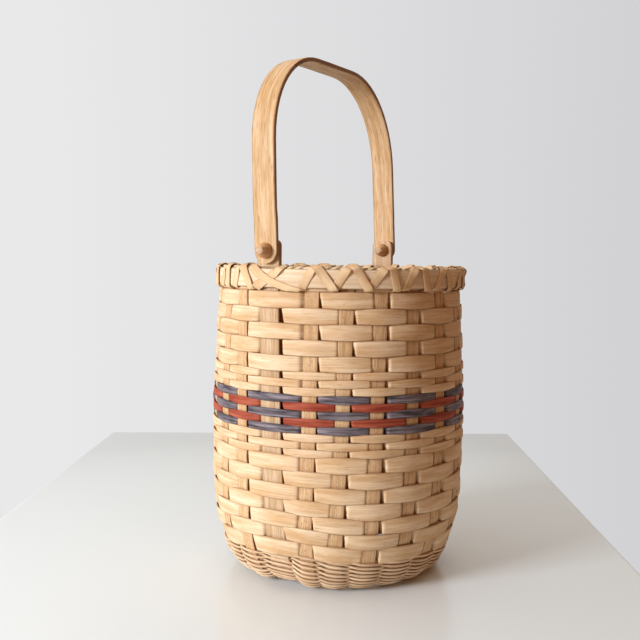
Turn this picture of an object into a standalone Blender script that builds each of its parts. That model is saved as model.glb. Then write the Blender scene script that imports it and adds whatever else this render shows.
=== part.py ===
"""Round splint basket with a swinging bentwood handle, rim hoops, lashing and a twined foot.

The weave is built strand by strand. Ten long stakes cross in a plain mat that is the floor, turn up
and stand as twenty uprights, and the tails of the two ears stand between them as the other two. Flat
weavers run over one upright and under the next, a pair of round reeds twists round all of them at the
foot, and two hoops, a filler and two crossing lashings bind the top. Metres, +Z up, floor at z = 0,
hinge line of the handle along X.
"""

import math
from dataclasses import dataclass

import bmesh
import bpy
from mathutils import Vector

# Flat splints and the gaps between pieces that touch
SPLINT_WIDTH = 0.0127
NARROW_WIDTH = 0.0060
WEAVER_THICKNESS = 0.0010
STAKE_WIDTH = 0.0127
STAKE_THICKNESS = 0.0012
FIT_GAP = 0.0003
ROW_GAP = 0.0004
BOW_DEPTH = 0.0034

# Wall, measured at the middle of the stakes' thickness
RIM_RADIUS = 0.1096
BASE_RADIUS = 0.079
CORNER_HEIGHT = 0.0275
CORNER_STEPS = 4
WIDE_ABOVE = 5
NARROW_ROWS = 11
WIDE_BELOW = 7
# Radius of the wall at the foot of some rows, as shares of the rim's
WALL_RADIUS_SHARES = ((0, 1), (3, 1.018), (12, 1.046), (19, 1.034), (21, 1.018), (23, 0.955))
# Reach of the two handles of the foot's curve, as shares of its height
CORNER_REACH_SHARES = (0.5, 0.55)

# Uprights: the first and the middle one are the ears' tails
STAKE_COUNT = 22
# Sideways shift of each upright, as a share of the even pitch
STAKE_SHIFT_SHARES = (
    -0.06, -0.01, -0.18, -0.30, -0.28, -0.26, -0.11, -0.02, 0.02, 0.04, 0.06,
    0.06, 0.10, 0.12, 0.10, -0.04, -0.10, -0.03, 0.02, 0.06, 0.09, -0.06,
)

# Lean of each upright: its shift at the rim and at the foot from its place half-way, as shares of the pitch;
# at the rim the ears' tails lean to the hinge line instead
STAKE_LEAN_SHARES = (
    (0, 0.11), (0, -0.10), (0.09, -0.12), (0.12, -0.06), (0.06, -0.05), (0.05, -0.05),
    (0, 0.03), (-0.04, 0.05), (-0.06, 0.04), (0.03, 0.06), (0.05, 0),
    (0, -0.11), (0.03, -0.05), (-0.05, -0.04), (-0.07, 0.03), (0.04, 0.06), (0.06, -0.03),
    (-0.03, -0.05), (-0.05, 0.03), (0.02, 0.04), (-0.13, -0.08), (-0.20, 0.04),
)
# Corners of the wall's outline at which the lean is measured: rim, half-way and foot
LEAN_KNOTS = (0, 2, 4)

# Floor mat of the crossing stakes
MAT_PITCH = 0.016
MAT_ACROSS = 4
MAT_ALONG = 6
# How far the fanned stakes run straight at each end, as a share of the distance between them
FAN_SHARE = 0.33
# Weights of a cubic curve's four controls for its middle and for its direction there
CUBIC_MIDDLE_SHARES = (0.125, 0.375, 0.375, 0.125)
CUBIC_HEADING_SHARES = (-0.25, -0.25, 0.25, 0.25)

# Twined foot
TWINE_WIDTH = 0.0021
TWINE_THICKNESS = 0.0019
TWINE_PITCH = 0.005
TWINE_ROUNDS = 7
TWINE_GAP = 0.0005

# Rim
HOOP_HEIGHT = 0.0159
HOOP_THICKNESS = 0.0032
HOOP_SIDES = 32
FALSE_ROW_WIDTH = 0.0125
LASH_WIDTH = 0.0055
LASH_THICKNESS = 0.0008
LASH_GAP = 0.0006
# Spread of the lashing's two legs at a crest and at a hole, as shares of the stakes' pitch
CREST_SPREAD_SHARE = 0.09
HOLE_SPREAD_SHARE = 0.01
# Least share of a lashing's slanted crease that is its own width
STEEPEST_SLANT_SHARE = 0.85

# Ears
TAIL_WIDTH = 0.0195
TAIL_THICKNESS = 0.0018
EAR_THICKNESS = 0.0045
EAR_ABOVE_PIVOT = 0.009
EAR_CORNER = 0.005
EAR_SWELL = 0.002
EAR_CLEARANCE = 0.0008

# Handle
PIVOT_ABOVE_RIM = 0.0169
# How far the hinge line stands to one side of the basket's middle
HINGE_OFFSET = 0.0085
HANDLE_WIDTH = 0.022
HANDLE_THICKNESS = 0.0039
HANDLE_RISE = 0.170
# How far the handle leans to that side where it rests
HANDLE_LEAN = math.radians(2.4)
SHOULDER_RADIUS = 0.075
SHOULDER_STEPS = 7
RUN_GAP = 0.0004
END_STEPS = 8

# Pivots
PIN_DIAMETER = 0.005
CAP_DIAMETER = 0.013
CAP_TIP_DIAMETER = 0.007
CAP_HEIGHT = 0.0095
# Profile of a cap from its base to its tip: shares of its height and of the taper's depth
CAP_PROFILE_SHARES = ((0, 0), (0.45, 0.2), (1, 1))
TURNED_SIDES = 12
CUT_OVERRUN = 0.002

MERGE_DISTANCE = 0.00001

NATURAL = (0.62, 0.42, 0.24)
BLUE = (0.10, 0.13, 0.19)
RED = (0.34, 0.09, 0.05)
HARDWOOD = (0.50, 0.30, 0.18)
# Dyed rows, from the ninth row down
FIRST_DYED_ROW = 9
DYED_ROWS = (("blue", BLUE), ("red", RED), ("blue", BLUE), ("red", RED), ("blue", BLUE))
REED_ROUGHNESS = 0.6
WOOD_ROUGHNESS = 0.5

# Sizes worked out from the ones above
HALF_STAKE = STAKE_WIDTH / 2
MAT_STEP = STAKE_THICKNESS + FIT_GAP
MAT_LEVEL = STAKE_THICKNESS / 2 + MAT_STEP / 2
SPOKE_LEVEL = TWINE_THICKNESS + TWINE_GAP + STAKE_THICKNESS / 2
EAR_WIDTH = HANDLE_WIDTH
HOOP_SPACE = TAIL_THICKNESS / 2 + WEAVER_THICKNESS + 2 * FIT_GAP
PITCH = 2 * math.pi / STAKE_COUNT


@dataclass(frozen=True)
class Upright:
    """A stake or an ear's tail where it stands in the wall."""

    angle: float
    rim_turn: float
    foot_turn: float
    half_width: float
    half_thickness: float

    @property
    def is_ear(self):
        return self.half_width > HALF_STAKE

    def angle_at(self, height):
        rim, middle, foot = (OUTLINE.knots[number].height for number in LEAN_KNOTS)
        if height > middle:
            return self.angle + self.rim_turn * min((height - middle) / (rim - middle), 1)
        return self.angle + self.foot_turn * min((middle - height) / (middle - foot), 1)

    def outward(self, height):
        angle = self.angle_at(height)
        return Vector((math.cos(angle), math.sin(angle), 0))

    def sideways(self, height):
        outward = self.outward(height)
        return Vector((-outward.y, outward.x, 0))

    def at(self, radius, height, across=0):
        return self.outward(height) * radius + Vector((0, 0, height)) + self.sideways(height) * across


@dataclass(frozen=True)
class Knot:
    """A corner of the wall's outline: distance down it from the first row's top, radius and height."""

    down: float
    radius: float
    height: float


class Outline:
    """The line that the middle of every stake follows, from the first row down to the floor."""

    def __init__(self, knots):
        self.knots = knots

    def segment(self, down):
        for upper, lower in zip(self.knots, self.knots[1:]):
            if down <= lower.down:
                return upper, lower
        return self.knots[-2], self.knots[-1]

    def point(self, down):
        upper, lower = self.segment(down)
        share = (down - upper.down) / (lower.down - upper.down)
        return (
            upper.radius + share * (lower.radius - upper.radius),
            upper.height + share * (lower.height - upper.height),
        )

    def normal(self, down):
        """The direction out of the wall, as its radial and upward parts."""
        upper, lower = self.segment(down)
        length = lower.down - upper.down
        return (upper.height - lower.height) / length, (lower.radius - upper.radius) / length

    def offset(self, upright, down, facing, out, across):
        """A point at a distance out from the wall's middle, square to its part that is at facing."""
        radius, height = self.point(down)
        radial, upward = self.normal(facing)
        return upright.at(radius + out * radial, height + out * upward, across)


def make_collection(name):
    collection = bpy.data.collections.new(name)
    bpy.context.scene.collection.children.link(collection)
    return collection


def add_material(obj, colour, roughness):
    material = bpy.data.materials.new(f"{obj.name}_finish")
    material.use_nodes = True
    shader = material.node_tree.nodes["Principled BSDF"]
    shader.inputs["Base Color"].default_value = (*colour, 1)
    shader.inputs["Roughness"].default_value = roughness
    shader.inputs["Metallic"].default_value = 0
    obj.data.materials.append(material)


def add_object(name, data, collection, colour, roughness=REED_ROUGHNESS):
    obj = bpy.data.objects.new(name, data)
    collection.objects.link(obj)
    add_material(obj, colour, roughness)
    return obj


def mesh_from(name, bm):
    mesh = bpy.data.meshes.new(name)
    bmesh.ops.recalc_face_normals(bm, faces=bm.faces)
    bm.to_mesh(mesh)
    bm.free()
    return mesh


def add_chain(bm, points, closed):
    verts = [bm.verts.new(point) for point in points]
    edges = [bm.edges.new(pair) for pair in zip(verts, verts[1:])]
    if closed:
        edges.append(bm.edges.new((verts[-1], verts[0])))
    return verts, edges


def ribbon_mesh(name, one_side, other_side, closed=False, ends=()):
    """An open band between two lines of points; each end is an outline that rounds off one end of it."""
    bm = bmesh.new()
    first, first_edges = add_chain(bm, one_side, closed)
    second, second_edges = add_chain(bm, other_side, closed)
    bmesh.ops.bridge_loops(bm, edges=first_edges + second_edges)
    for index, outline in ends:
        middle, _ = add_chain(bm, outline, False)
        rim = [first[index], *middle, second[index]]
        edges = [bm.edges.get(pair) or bm.edges.new(pair) for pair in zip(rim, rim[1:] + rim[:1])]
        bmesh.ops.contextual_create(bm, geom=edges)
    return mesh_from(name, bm)


def thicken(obj, thickness):
    solidify = obj.modifiers.new("Thickness", "SOLIDIFY")
    solidify.thickness = thickness
    solidify.offset = 0
    solidify.use_even_offset = True
    return solidify


def add_turned(name, profile, sides, collection, colour, roughness):
    """A closed outline of radius and height, turned round the object's own Z."""
    bm = bmesh.new()
    add_chain(bm, [(radius, 0, height) for radius, height in profile], True)
    mesh = bpy.data.meshes.new(name)
    bm.to_mesh(mesh)
    bm.free()
    obj = add_object(name, mesh, collection, colour, roughness)
    screw = obj.modifiers.new("Turn", "SCREW")
    screw.steps = sides
    screw.render_steps = sides
    screw.merge_threshold = MERGE_DISTANCE
    screw.use_merge_vertices = True
    return obj


def uprights():
    """The stakes and the two ears' tails, in order round the basket from the ear at -X."""
    standing = []
    to_hinge = math.asin(HINGE_OFFSET / RIM_RADIUS)
    for number, (shift, (at_rim, at_foot)) in enumerate(zip(STAKE_SHIFT_SHARES, STAKE_LEAN_SHARES)):
        angle = math.pi + PITCH * (number + shift)
        if number % (STAKE_COUNT // 2) == 0:
            side = 1 if number else -1
            turns = (side * to_hinge - PITCH * shift, PITCH * at_foot)
            standing.append(Upright(angle, *turns, TAIL_WIDTH / 2, TAIL_THICKNESS / 2))
        else:
            turns = (PITCH * at_rim, PITCH * at_foot)
            standing.append(Upright(angle, *turns, HALF_STAKE, STAKE_THICKNESS / 2))
    return standing


def row_widths():
    return [SPLINT_WIDTH] * WIDE_ABOVE + [NARROW_WIDTH] * NARROW_ROWS + [SPLINT_WIDTH] * WIDE_BELOW


def row_tops():
    """How far down the wall each row begins, and where the last one ends."""
    tops = [0]
    for width in row_widths():
        tops.append(tops[-1] + width + ROW_GAP)
    return tops


def corner_points(start, slope):
    """The foot's curve from the last row to the floor, as radius and height, on a cubic curve."""
    reach = [share * CORNER_HEIGHT for share in CORNER_REACH_SHARES]
    begin = Vector(start)
    first = begin + Vector(slope) * reach[0]
    end = Vector((BASE_RADIUS, SPOKE_LEVEL))
    second = end + Vector((reach[1], 0))
    points = []
    for step in range(1, CORNER_STEPS + 1):
        share = step / CORNER_STEPS
        rest = 1 - share
        points.append(
            rest**3 * begin + 3 * rest**2 * share * first + 3 * rest * share**2 * second + share**3 * end
        )
    return points


def wall_outline():
    tops = row_tops()
    spots = [(tops[row], RIM_RADIUS * share) for row, share in WALL_RADIUS_SHARES]
    drops = [
        math.sqrt((lower[0] - upper[0]) ** 2 - (lower[1] - upper[1]) ** 2)
        for upper, lower in zip(spots, spots[1:])
    ]
    height = SPOKE_LEVEL + CORNER_HEIGHT + sum(drops)
    knots = [Knot(spots[0][0], spots[0][1], height)]
    for (down, radius), drop in zip(spots[1:], drops):
        height -= drop
        knots.append(Knot(down, radius, height))
    upper, lower = knots[-2:]
    run = Vector((lower.radius - upper.radius, lower.height - upper.height)).normalized()
    for point in corner_points((lower.radius, lower.height), run):
        last = knots[-1]
        step = (point - Vector((last.radius, last.height))).length
        knots.append(Knot(last.down + step, point.x, point.y))
    return Outline(knots)


UPRIGHTS = uprights()
OUTLINE = wall_outline()
WALL_TOP = OUTLINE.knots[0].height
HOOP_BOTTOM = WALL_TOP + 3 * LASH_GAP + 2 * LASH_THICKNESS
HOOP_TOP = HOOP_BOTTOM + HOOP_HEIGHT
STAKE_TOP = HOOP_BOTTOM + FALSE_ROW_WIDTH
FILLER_RADIUS = HOOP_SPACE - FIT_GAP
FILLER_LEVEL = STAKE_TOP + FIT_GAP + FILLER_RADIUS
PIVOT_HEIGHT = HOOP_TOP + PIVOT_ABOVE_RIM


def goes_outside(row, number):
    return (row + number) % 2 == 1


def weave_points(row, down, facing, bowed):
    """One edge of a weaver: flat over an upright, and behind it either bowed to a point or flat too."""
    points = []
    for number, upright in enumerate(UPRIGHTS):
        out = upright.half_thickness + FIT_GAP + WEAVER_THICKNESS / 2
        across = upright.half_width + FIT_GAP
        if goes_outside(row, number):
            points += [OUTLINE.offset(upright, down, facing, out, side * across) for side in (-1, 1)]
        elif bowed and not upright.is_ear:
            points.append(OUTLINE.offset(upright, down, facing, -BOW_DEPTH, 0))
        else:
            points += [OUTLINE.offset(upright, down, facing, -out, side * across) for side in (-1, 1)]
    return points


def row_dye(row):
    """A row's colour word and colour, counted from the top."""
    dyed = row - FIRST_DYED_ROW
    return DYED_ROWS[dyed] if 0 <= dyed < len(DYED_ROWS) else ("natural", NATURAL)


def add_weavers(collection):
    tops = row_tops()
    for row, width in enumerate(row_widths(), start=1):
        top = tops[row - 1]
        middle = top + width / 2
        edges = [weave_points(row, down, middle, True) for down in (top, top + width)]
        word, colour = row_dye(row)
        name = f"weaver_{row:02d}_{word}"
        obj = add_object(name, ribbon_mesh(name, *edges, closed=True), collection, colour)
        thicken(obj, WEAVER_THICKNESS)


def add_false_row(collection):
    """The flat round that the hoops clamp, which the lashing passes under."""
    plan = weave_points(0, 0, 0, False)
    edges = [[Vector((point.x, point.y, height)) for point in plan] for height in (STAKE_TOP, HOOP_BOTTOM)]
    obj = add_object("rim_row", ribbon_mesh("rim_row", *edges, closed=True), collection, NATURAL)
    thicken(obj, WEAVER_THICKNESS)


def wall_rows(last_knot=None):
    """Middle points of an upright, as radius and height, from its cut top down to a knot of the outline."""
    knots = OUTLINE.knots[:last_knot]
    return [(RIM_RADIUS, STAKE_TOP)] + [(knot.radius, knot.height) for knot in knots]


def fan_rows(upright, mat_end, mat_side):
    """The floor stretch of a stake, from the end of the foot's curve to the mat's edge."""
    start = upright.at(BASE_RADIUS, SPOKE_LEVEL)
    reach = (start - mat_end).length * FAN_SHARE
    along = Vector((-mat_side.y, mat_side.x, 0))
    outward = upright.outward(SPOKE_LEVEL)
    away = along if along.dot(outward) > 0 else -along
    controls = (start, start - outward * reach, mat_end + away * reach, mat_end)
    middle = sum((point * weight for point, weight in zip(controls, CUBIC_MIDDLE_SHARES)), Vector())
    middle.z = (start.z + mat_end.z) / 2
    heading = sum((point * weight for point, weight in zip(controls, CUBIC_HEADING_SHARES)), Vector())
    across = Vector((-heading.y, heading.x, 0)).normalized()
    return [(middle, across if across.dot(mat_side) > 0 else -across)]


def mat_rows(axis, side, place, first_over, crossings):
    """The mat stretch of a stake: over one crossing stake and under the next."""
    rows = []
    for number in range(crossings):
        across = (number - (crossings - 1) / 2) * MAT_PITCH
        over = (number % 2 == 0) == first_over
        level = MAT_LEVEL + (MAT_STEP / 2 if over else -MAT_STEP / 2)
        for end in (-1, 1):
            along = across + end * (HALF_STAKE + FIT_GAP)
            rows.append((axis * along + side * place + Vector((0, 0, level)), side))
    return rows


def add_floor_stake(name, ends, axis, side, place, first_over, crossings, collection):
    """A stake from one cut top down the wall, across the mat and up the far wall."""
    near, far = ends
    mat = mat_rows(axis, side, place, first_over, crossings)
    rows = [(near.at(*spot), -near.sideways(spot[1])) for spot in wall_rows()]
    rows += fan_rows(near, mat[0][0], side)
    rows += mat
    rows += reversed(fan_rows(far, mat[-1][0], side))
    rows += [(far.at(*spot), far.sideways(spot[1])) for spot in reversed(wall_rows())]
    edges = [[middle + across * reach for middle, across in rows] for reach in (-HALF_STAKE, HALF_STAKE)]
    obj = add_object(name, ribbon_mesh(name, *edges), collection, NATURAL)
    thicken(obj, STAKE_THICKNESS)


def add_stakes(collection):
    """Four stakes along X, whose ends stand beside the ears, and six along Y."""
    along_x = Vector((1, 0, 0))
    along_y = Vector((0, 1, 0))
    half = STAKE_COUNT // 2
    for index in range(MAT_ACROSS):
        number = MAT_ACROSS // 2 - index
        if number <= 0:
            number -= 1
        ends = (UPRIGHTS[number], UPRIGHTS[half - number])
        place = (index - (MAT_ACROSS - 1) / 2) * MAT_PITCH
        name = f"stake_long_{index + 1}"
        add_floor_stake(name, ends, along_x, along_y, place, index % 2 == 0, MAT_ALONG, collection)
    for index in range(MAT_ALONG):
        number = index + MAT_ACROSS // 2 + 1
        ends = (UPRIGHTS[number], UPRIGHTS[-number])
        place = -(index - (MAT_ALONG - 1) / 2) * MAT_PITCH
        name = f"stake_cross_{index + 1}"
        add_floor_stake(name, ends, along_y, -along_x, place, index % 2 == 1, MAT_ACROSS, collection)


def twine_section():
    """Three-sided section of a twined strand, flat on the side away from the basket's middle."""
    curve = bpy.data.curves.new("twine_section", "CURVE")
    spline = curve.splines.new("POLY")
    spline.points.add(2)
    out = TWINE_THICKNESS / 2
    corners = ((out, -TWINE_WIDTH / 2), (-out, 0), (out, TWINE_WIDTH / 2))
    for point, corner in zip(spline.points, corners):
        point.co = (*corner, 0, 1)
    spline.use_cyclic_u = True
    return curve


def add_twining(collection, guides):
    """Two strands that twist round each other once between every two uprights, in one long spiral."""
    section = bpy.data.objects.new("twine_section", twine_section())
    section.hide_render = True
    section.display_type = "WIRE"
    guides.objects.link(section)
    twist = TWINE_PITCH / 4
    first = row_tops()[-1] + twist + TWINE_WIDTH / 2
    for strand in (0, 1):
        points = []
        for turn in range(TWINE_ROUNDS * STAKE_COUNT):
            number = turn % STAKE_COUNT
            upright = UPRIGHTS[number]
            outside = goes_outside(strand, number)
            out = upright.half_thickness + TWINE_GAP + TWINE_THICKNESS / 2
            for side in (-1, 1):
                down = first + TWINE_PITCH * turn / STAKE_COUNT + side * twist * (1 if outside else -1)
                place = OUTLINE.offset(
                    upright, down, down, out if outside else -out, side * (upright.half_width + FIT_GAP)
                )
                radial, upward = OUTLINE.normal(down)
                points.append((place, math.atan2(-upward, radial)))
        curve = bpy.data.curves.new(f"twining_strand_{strand + 1}", "CURVE")
        curve.dimensions = "3D"
        curve.twist_mode = "Z_UP"
        curve.bevel_mode = "OBJECT"
        curve.bevel_object = section
        curve.use_fill_caps = True
        spline = curve.splines.new("POLY")
        spline.points.add(len(points) - 1)
        for target, (place, tilt) in zip(spline.points, points):
            target.co = (*place, 1)
            target.tilt = tilt
        add_object(f"twining_strand_{strand + 1}", curve, collection, NATURAL)


def rim_stretches():
    """The rim from ear to ear on each side: its first angle, then the step and count of its flat sides."""
    ears = [UPRIGHTS[number].angle_at(HOOP_TOP) for number in (0, STAKE_COUNT // 2)]
    stretches = []
    for start, end in (ears, (ears[1], ears[0] + 2 * math.pi)):
        count = round((end - start) * HOOP_SIDES / (2 * math.pi))
        stretches.append((start, (end - start) / count, count))
    return stretches


def rim_corner():
    """How much farther out the hoops' corners are than the middles of their sides."""
    return 1 / math.cos(max(step for _, step, _ in rim_stretches()) / 2)


def add_hoop(name, inner_apothem, collection):
    """A flat hoop, of which one side lies square to each ear."""
    radius = (inner_apothem + HOOP_THICKNESS / 2) * rim_corner()
    angles = [
        start + step * (side + 1 / 2) for start, step, count in rim_stretches() for side in range(count)
    ]
    edges = [
        [(radius * math.cos(angle), radius * math.sin(angle), height) for angle in angles]
        for height in (HOOP_TOP, HOOP_BOTTOM)
    ]
    obj = add_object(name, ribbon_mesh(name, *edges, closed=True), collection, NATURAL)
    thicken(obj, HOOP_THICKNESS)


def ear_clear_angle(width):
    """Angle from an ear's middle to that of a piece of this width beside its head."""
    return (EAR_WIDTH / 2 + EAR_CLEARANCE + width / 2) / RIM_RADIUS


def add_fillers(collection):
    """Round reed that lies on the stakes' ends between the hoops, from ear to ear on each side."""
    for word, (start, side, count) in zip(("front", "back"), rim_stretches()):
        name = f"rim_filler_{word}"
        clear = ear_clear_angle(0)
        corners = [side * (corner + 1 / 2) for corner in range(1, count - 1)]
        turns = [clear, *corners, side * count - clear]
        curve = bpy.data.curves.new(name, "CURVE")
        curve.dimensions = "3D"
        curve.bevel_depth = FILLER_RADIUS
        curve.bevel_resolution = 1
        curve.use_fill_caps = True
        spline = curve.splines.new("POLY")
        spline.points.add(len(turns) - 1)
        for turn, target in zip(turns, spline.points):
            from_flat = (turn + side / 2) % side - side / 2
            radius = RIM_RADIUS / math.cos(from_flat)
            angle = start + turn
            target.co = (radius * math.cos(angle), radius * math.sin(angle), FILLER_LEVEL, 1)
        add_object(name, curve, collection, NATURAL)


@dataclass(frozen=True)
class LashPoint:
    """A corner of the lashing's route: angle round the rim, radius, height and the way it faces."""

    angle: float
    radius: float
    height: float
    facing: tuple

    @property
    def place(self):
        return Vector((self.radius * math.cos(self.angle), self.radius * math.sin(self.angle), self.height))

    @property
    def along(self):
        return Vector((-math.sin(self.angle), math.cos(self.angle), 0))

    @property
    def is_crease(self):
        """Whether the lashing folds here over an edge of the rim, so that its crease runs along the rim."""
        return self.facing[1] != 0

    @property
    def normal(self):
        radial, upward = self.facing
        return Vector((radial * math.cos(self.angle), radial * math.sin(self.angle), upward)).normalized()


def lash_route(layer, way):
    """One lashing: up outside from a hole to a crest, over it and down inside to the next hole."""
    off = LASH_GAP + LASH_THICKNESS / 2 + layer * (LASH_GAP + LASH_THICKNESS)
    outer = (RIM_RADIUS + HOOP_SPACE + HOOP_THICKNESS) * rim_corner() + off
    inner = RIM_RADIUS - HOOP_SPACE - HOOP_THICKNESS - off
    low = HOOP_BOTTOM - off
    high = HOOP_TOP + off
    crest = max(FILLER_LEVEL + FILLER_RADIUS, HOOP_TOP) + off
    spread = CREST_SPREAD_SHARE * PITCH
    hole_spread = HOLE_SPREAD_SHARE * PITCH
    route = []
    for step in range(STAKE_COUNT):
        number = step if way > 0 else -step
        upright = UPRIGHTS[number]
        before, after = (UPRIGHTS[number - way], UPRIGHTS[(number + way) % STAKE_COUNT])
        here = upright.angle_at(HOOP_TOP)
        turn_before = (here - before.angle_at(HOOP_TOP)) * way % (2 * math.pi) / 2
        turn_after = (after.angle_at(HOOP_TOP) - here) * way % (2 * math.pi) / 2
        enter = here - way * (turn_before - hole_spread)
        leave = here + way * (turn_after - hole_spread)
        top = here
        if upright.is_ear:
            top += way * ear_clear_angle(LASH_WIDTH)
        route.append(LashPoint(enter, outer, low, (1, -1)))
        if upright.is_ear:
            at_ear = low + (high - low) * (here - enter) / (top - enter)
            route.append(LashPoint(here, outer, at_ear, (1, 0)))
            spread_here = spread / 2
        else:
            spread_here = spread
        route.append(LashPoint(top - way * spread_here, outer, high, (1, 1)))
        route.append(LashPoint(top, RIM_RADIUS, crest, (0, 1)))
        route.append(LashPoint(top + way * spread_here / 2, inner, high, (-1, 1)))
        route.append(LashPoint(leave, inner, low, (-1, -1)))
    return route


def add_lashings(collection):
    """Two lashings that run opposite ways, the second wholly outside the first."""
    for layer, way in ((0, -1), (1, 1)):
        route = lash_route(layer, way)
        edges = ([], [])
        for before, here, after in zip(route[-1:] + route[:-1], route, route[1:] + route[:1]):
            travel = (after.place - here.place).normalized() + (here.place - before.place).normalized()
            across = here.normal.cross(travel).normalized()
            if here.is_crease:
                slant = max(abs(across.dot(here.along)), STEEPEST_SLANT_SHARE)
                across = here.along * math.copysign(1 / slant, across.dot(here.along))
            across *= LASH_WIDTH / 2
            edges[0].append(here.place - across)
            edges[1].append(here.place + across)
        name = f"rim_lashing_{layer + 1}"
        obj = add_object(name, ribbon_mesh(name, *edges, closed=True), collection, NATURAL)
        thicken(obj, LASH_THICKNESS)


def arc_points(centre, radius, start, sweep, steps):
    """Points strictly between the ends of an arc, as two coordinates."""
    return [
        (
            centre[0] + radius * math.cos(start + sweep * step / steps),
            centre[1] + radius * math.sin(start + sweep * step / steps),
        )
        for step in range(1, steps)
    ]


def add_cutter(name, side, cutters):
    """A round hole on the hinge line through an ear and the handle's leg at one side."""
    bm = bmesh.new()
    reach = EAR_THICKNESS + RUN_GAP + HANDLE_THICKNESS + 2 * CUT_OVERRUN
    radius = PIN_DIAMETER / 2 + FIT_GAP
    bmesh.ops.create_cone(
        bm, cap_ends=True, segments=TURNED_SIDES, radius1=radius, radius2=radius, depth=reach
    )
    cutter = bpy.data.objects.new(name, mesh_from(name, bm))
    cutters.objects.link(cutter)
    middle = RIM_RADIUS - EAR_THICKNESS / 2 - CUT_OVERRUN + reach / 2
    cutter.location = (side * middle, HINGE_OFFSET, PIVOT_HEIGHT)
    cutter.rotation_euler.y = math.pi / 2
    cutter.hide_render = True
    cutter.display_type = "WIRE"
    return cutter


def cut(obj, cutter):
    boolean = obj.modifiers.new("Pin hole", "BOOLEAN")
    boolean.operation = "DIFFERENCE"
    boolean.solver = "EXACT"
    boolean.object = cutter


def add_ear(name, upright, side, cutter, collection):
    """An ear: a thick head square to the hinge line, and a thin tail that leans in the wall as an upright."""
    ear_top = PIVOT_HEIGHT + EAR_ABOVE_PIVOT
    neck = HOOP_TOP + FIT_GAP
    tail = [*reversed(wall_rows(-1)), (RIM_RADIUS, neck)]
    edges = []
    for edge in (-1, 1):
        points = [upright.at(*spot, edge * TAIL_WIDTH / 2) for spot in tail]
        points += [
            Vector((side * RIM_RADIUS, HINGE_OFFSET + side * edge * EAR_WIDTH / 2, height))
            for height in (HOOP_TOP + EAR_SWELL, ear_top - EAR_CORNER)
        ]
        edges.append(points)
    shoulder = EAR_WIDTH / 2 - EAR_CORNER
    quarter = END_STEPS // 2
    left = arc_points((-shoulder, ear_top - EAR_CORNER), EAR_CORNER, math.pi, -math.pi / 2, quarter)
    right = arc_points((shoulder, ear_top - EAR_CORNER), EAR_CORNER, math.pi / 2, -math.pi / 2, quarter)
    outline = left + [(-shoulder, ear_top), (shoulder, ear_top)] + right
    end = [(side * RIM_RADIUS, HINGE_OFFSET + side * across, height) for across, height in outline]
    mesh = ribbon_mesh(name, *edges, ends=((-1, end),))
    obj = add_object(name, mesh, collection, HARDWOOD, WOOD_ROUGHNESS)
    group = obj.vertex_groups.new(name="head")
    head = [v.index for v in mesh.vertices if v.co.z > neck + MERGE_DISTANCE]
    group.add(head, 1, "REPLACE")
    solidify = thicken(obj, EAR_THICKNESS)
    solidify.vertex_group = group.name
    solidify.thickness_vertex_group = TAIL_THICKNESS / EAR_THICKNESS
    cut(obj, cutter)


def handle_outline(leg):
    """Middle of the strap from one pivot over the top to the other, as X and height above the pivot."""
    top = HANDLE_RISE - HANDLE_THICKNESS / 2
    shoulder = (leg - SHOULDER_RADIUS, top - SHOULDER_RADIUS)
    bend = arc_points(shoulder, SHOULDER_RADIUS, 0, math.pi / 2, SHOULDER_STEPS)
    right = [(leg, 0), (leg, shoulder[1]), *bend, (shoulder[0], top)]
    return [(-x, z) for x, z in right] + right[::-1]


def add_handle(cutters_used, leg, collection):
    half = HANDLE_WIDTH / 2
    line = handle_outline(leg)
    edges = [[(x, y, z) for x, z in line] for y in (-half, half)]
    round_end = arc_points((0, 0), half, math.pi, math.pi, END_STEPS)
    ends = [(index, [(x, y, z) for y, z in round_end]) for index, x in ((0, -leg), (-1, leg))]
    mesh = ribbon_mesh("handle", *edges, ends=ends)
    obj = add_object("handle", mesh, collection, HARDWOOD, WOOD_ROUGHNESS)
    obj.location = (0, HINGE_OFFSET, PIVOT_HEIGHT)
    obj.rotation_euler.x = -HANDLE_LEAN
    thicken(obj, HANDLE_THICKNESS)
    for cutter in cutters_used:
        cut(obj, cutter)


def add_cap(name, x, way, collection):
    """A turned button on a pin's end, from its base at x."""
    bore = PIN_DIAMETER / 2 + FIT_GAP
    base = CAP_DIAMETER / 2
    taper = (CAP_DIAMETER - CAP_TIP_DIAMETER) / 2
    outer = [(base - taper * inward, CAP_HEIGHT * up) for up, inward in CAP_PROFILE_SHARES]
    profile = [(bore, CAP_HEIGHT), *reversed(outer), (bore, 0)]
    obj = add_turned(name, profile, TURNED_SIDES, collection, HARDWOOD, WOOD_ROUGHNESS)
    obj.location = (x, HINGE_OFFSET, PIVOT_HEIGHT)
    obj.rotation_euler.y = way * math.pi / 2


def add_pin(name, inner_end, outer_end, side, collection):
    """A dowel through an inner cap, an ear, a leg of the handle and an outer cap."""
    bm = bmesh.new()
    radius = PIN_DIAMETER / 2
    bmesh.ops.create_cone(
        bm, cap_ends=True, segments=TURNED_SIDES, radius1=radius, radius2=radius, depth=outer_end - inner_end
    )
    mesh = mesh_from(name, bm)
    mesh.shade_smooth()
    mesh.set_sharp_from_angle(angle=math.pi / 4)
    obj = add_object(name, mesh, collection, HARDWOOD, WOOD_ROUGHNESS)
    obj.location = (side * (inner_end + outer_end) / 2, HINGE_OFFSET, PIVOT_HEIGHT)
    obj.rotation_euler.y = math.pi / 2


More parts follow.
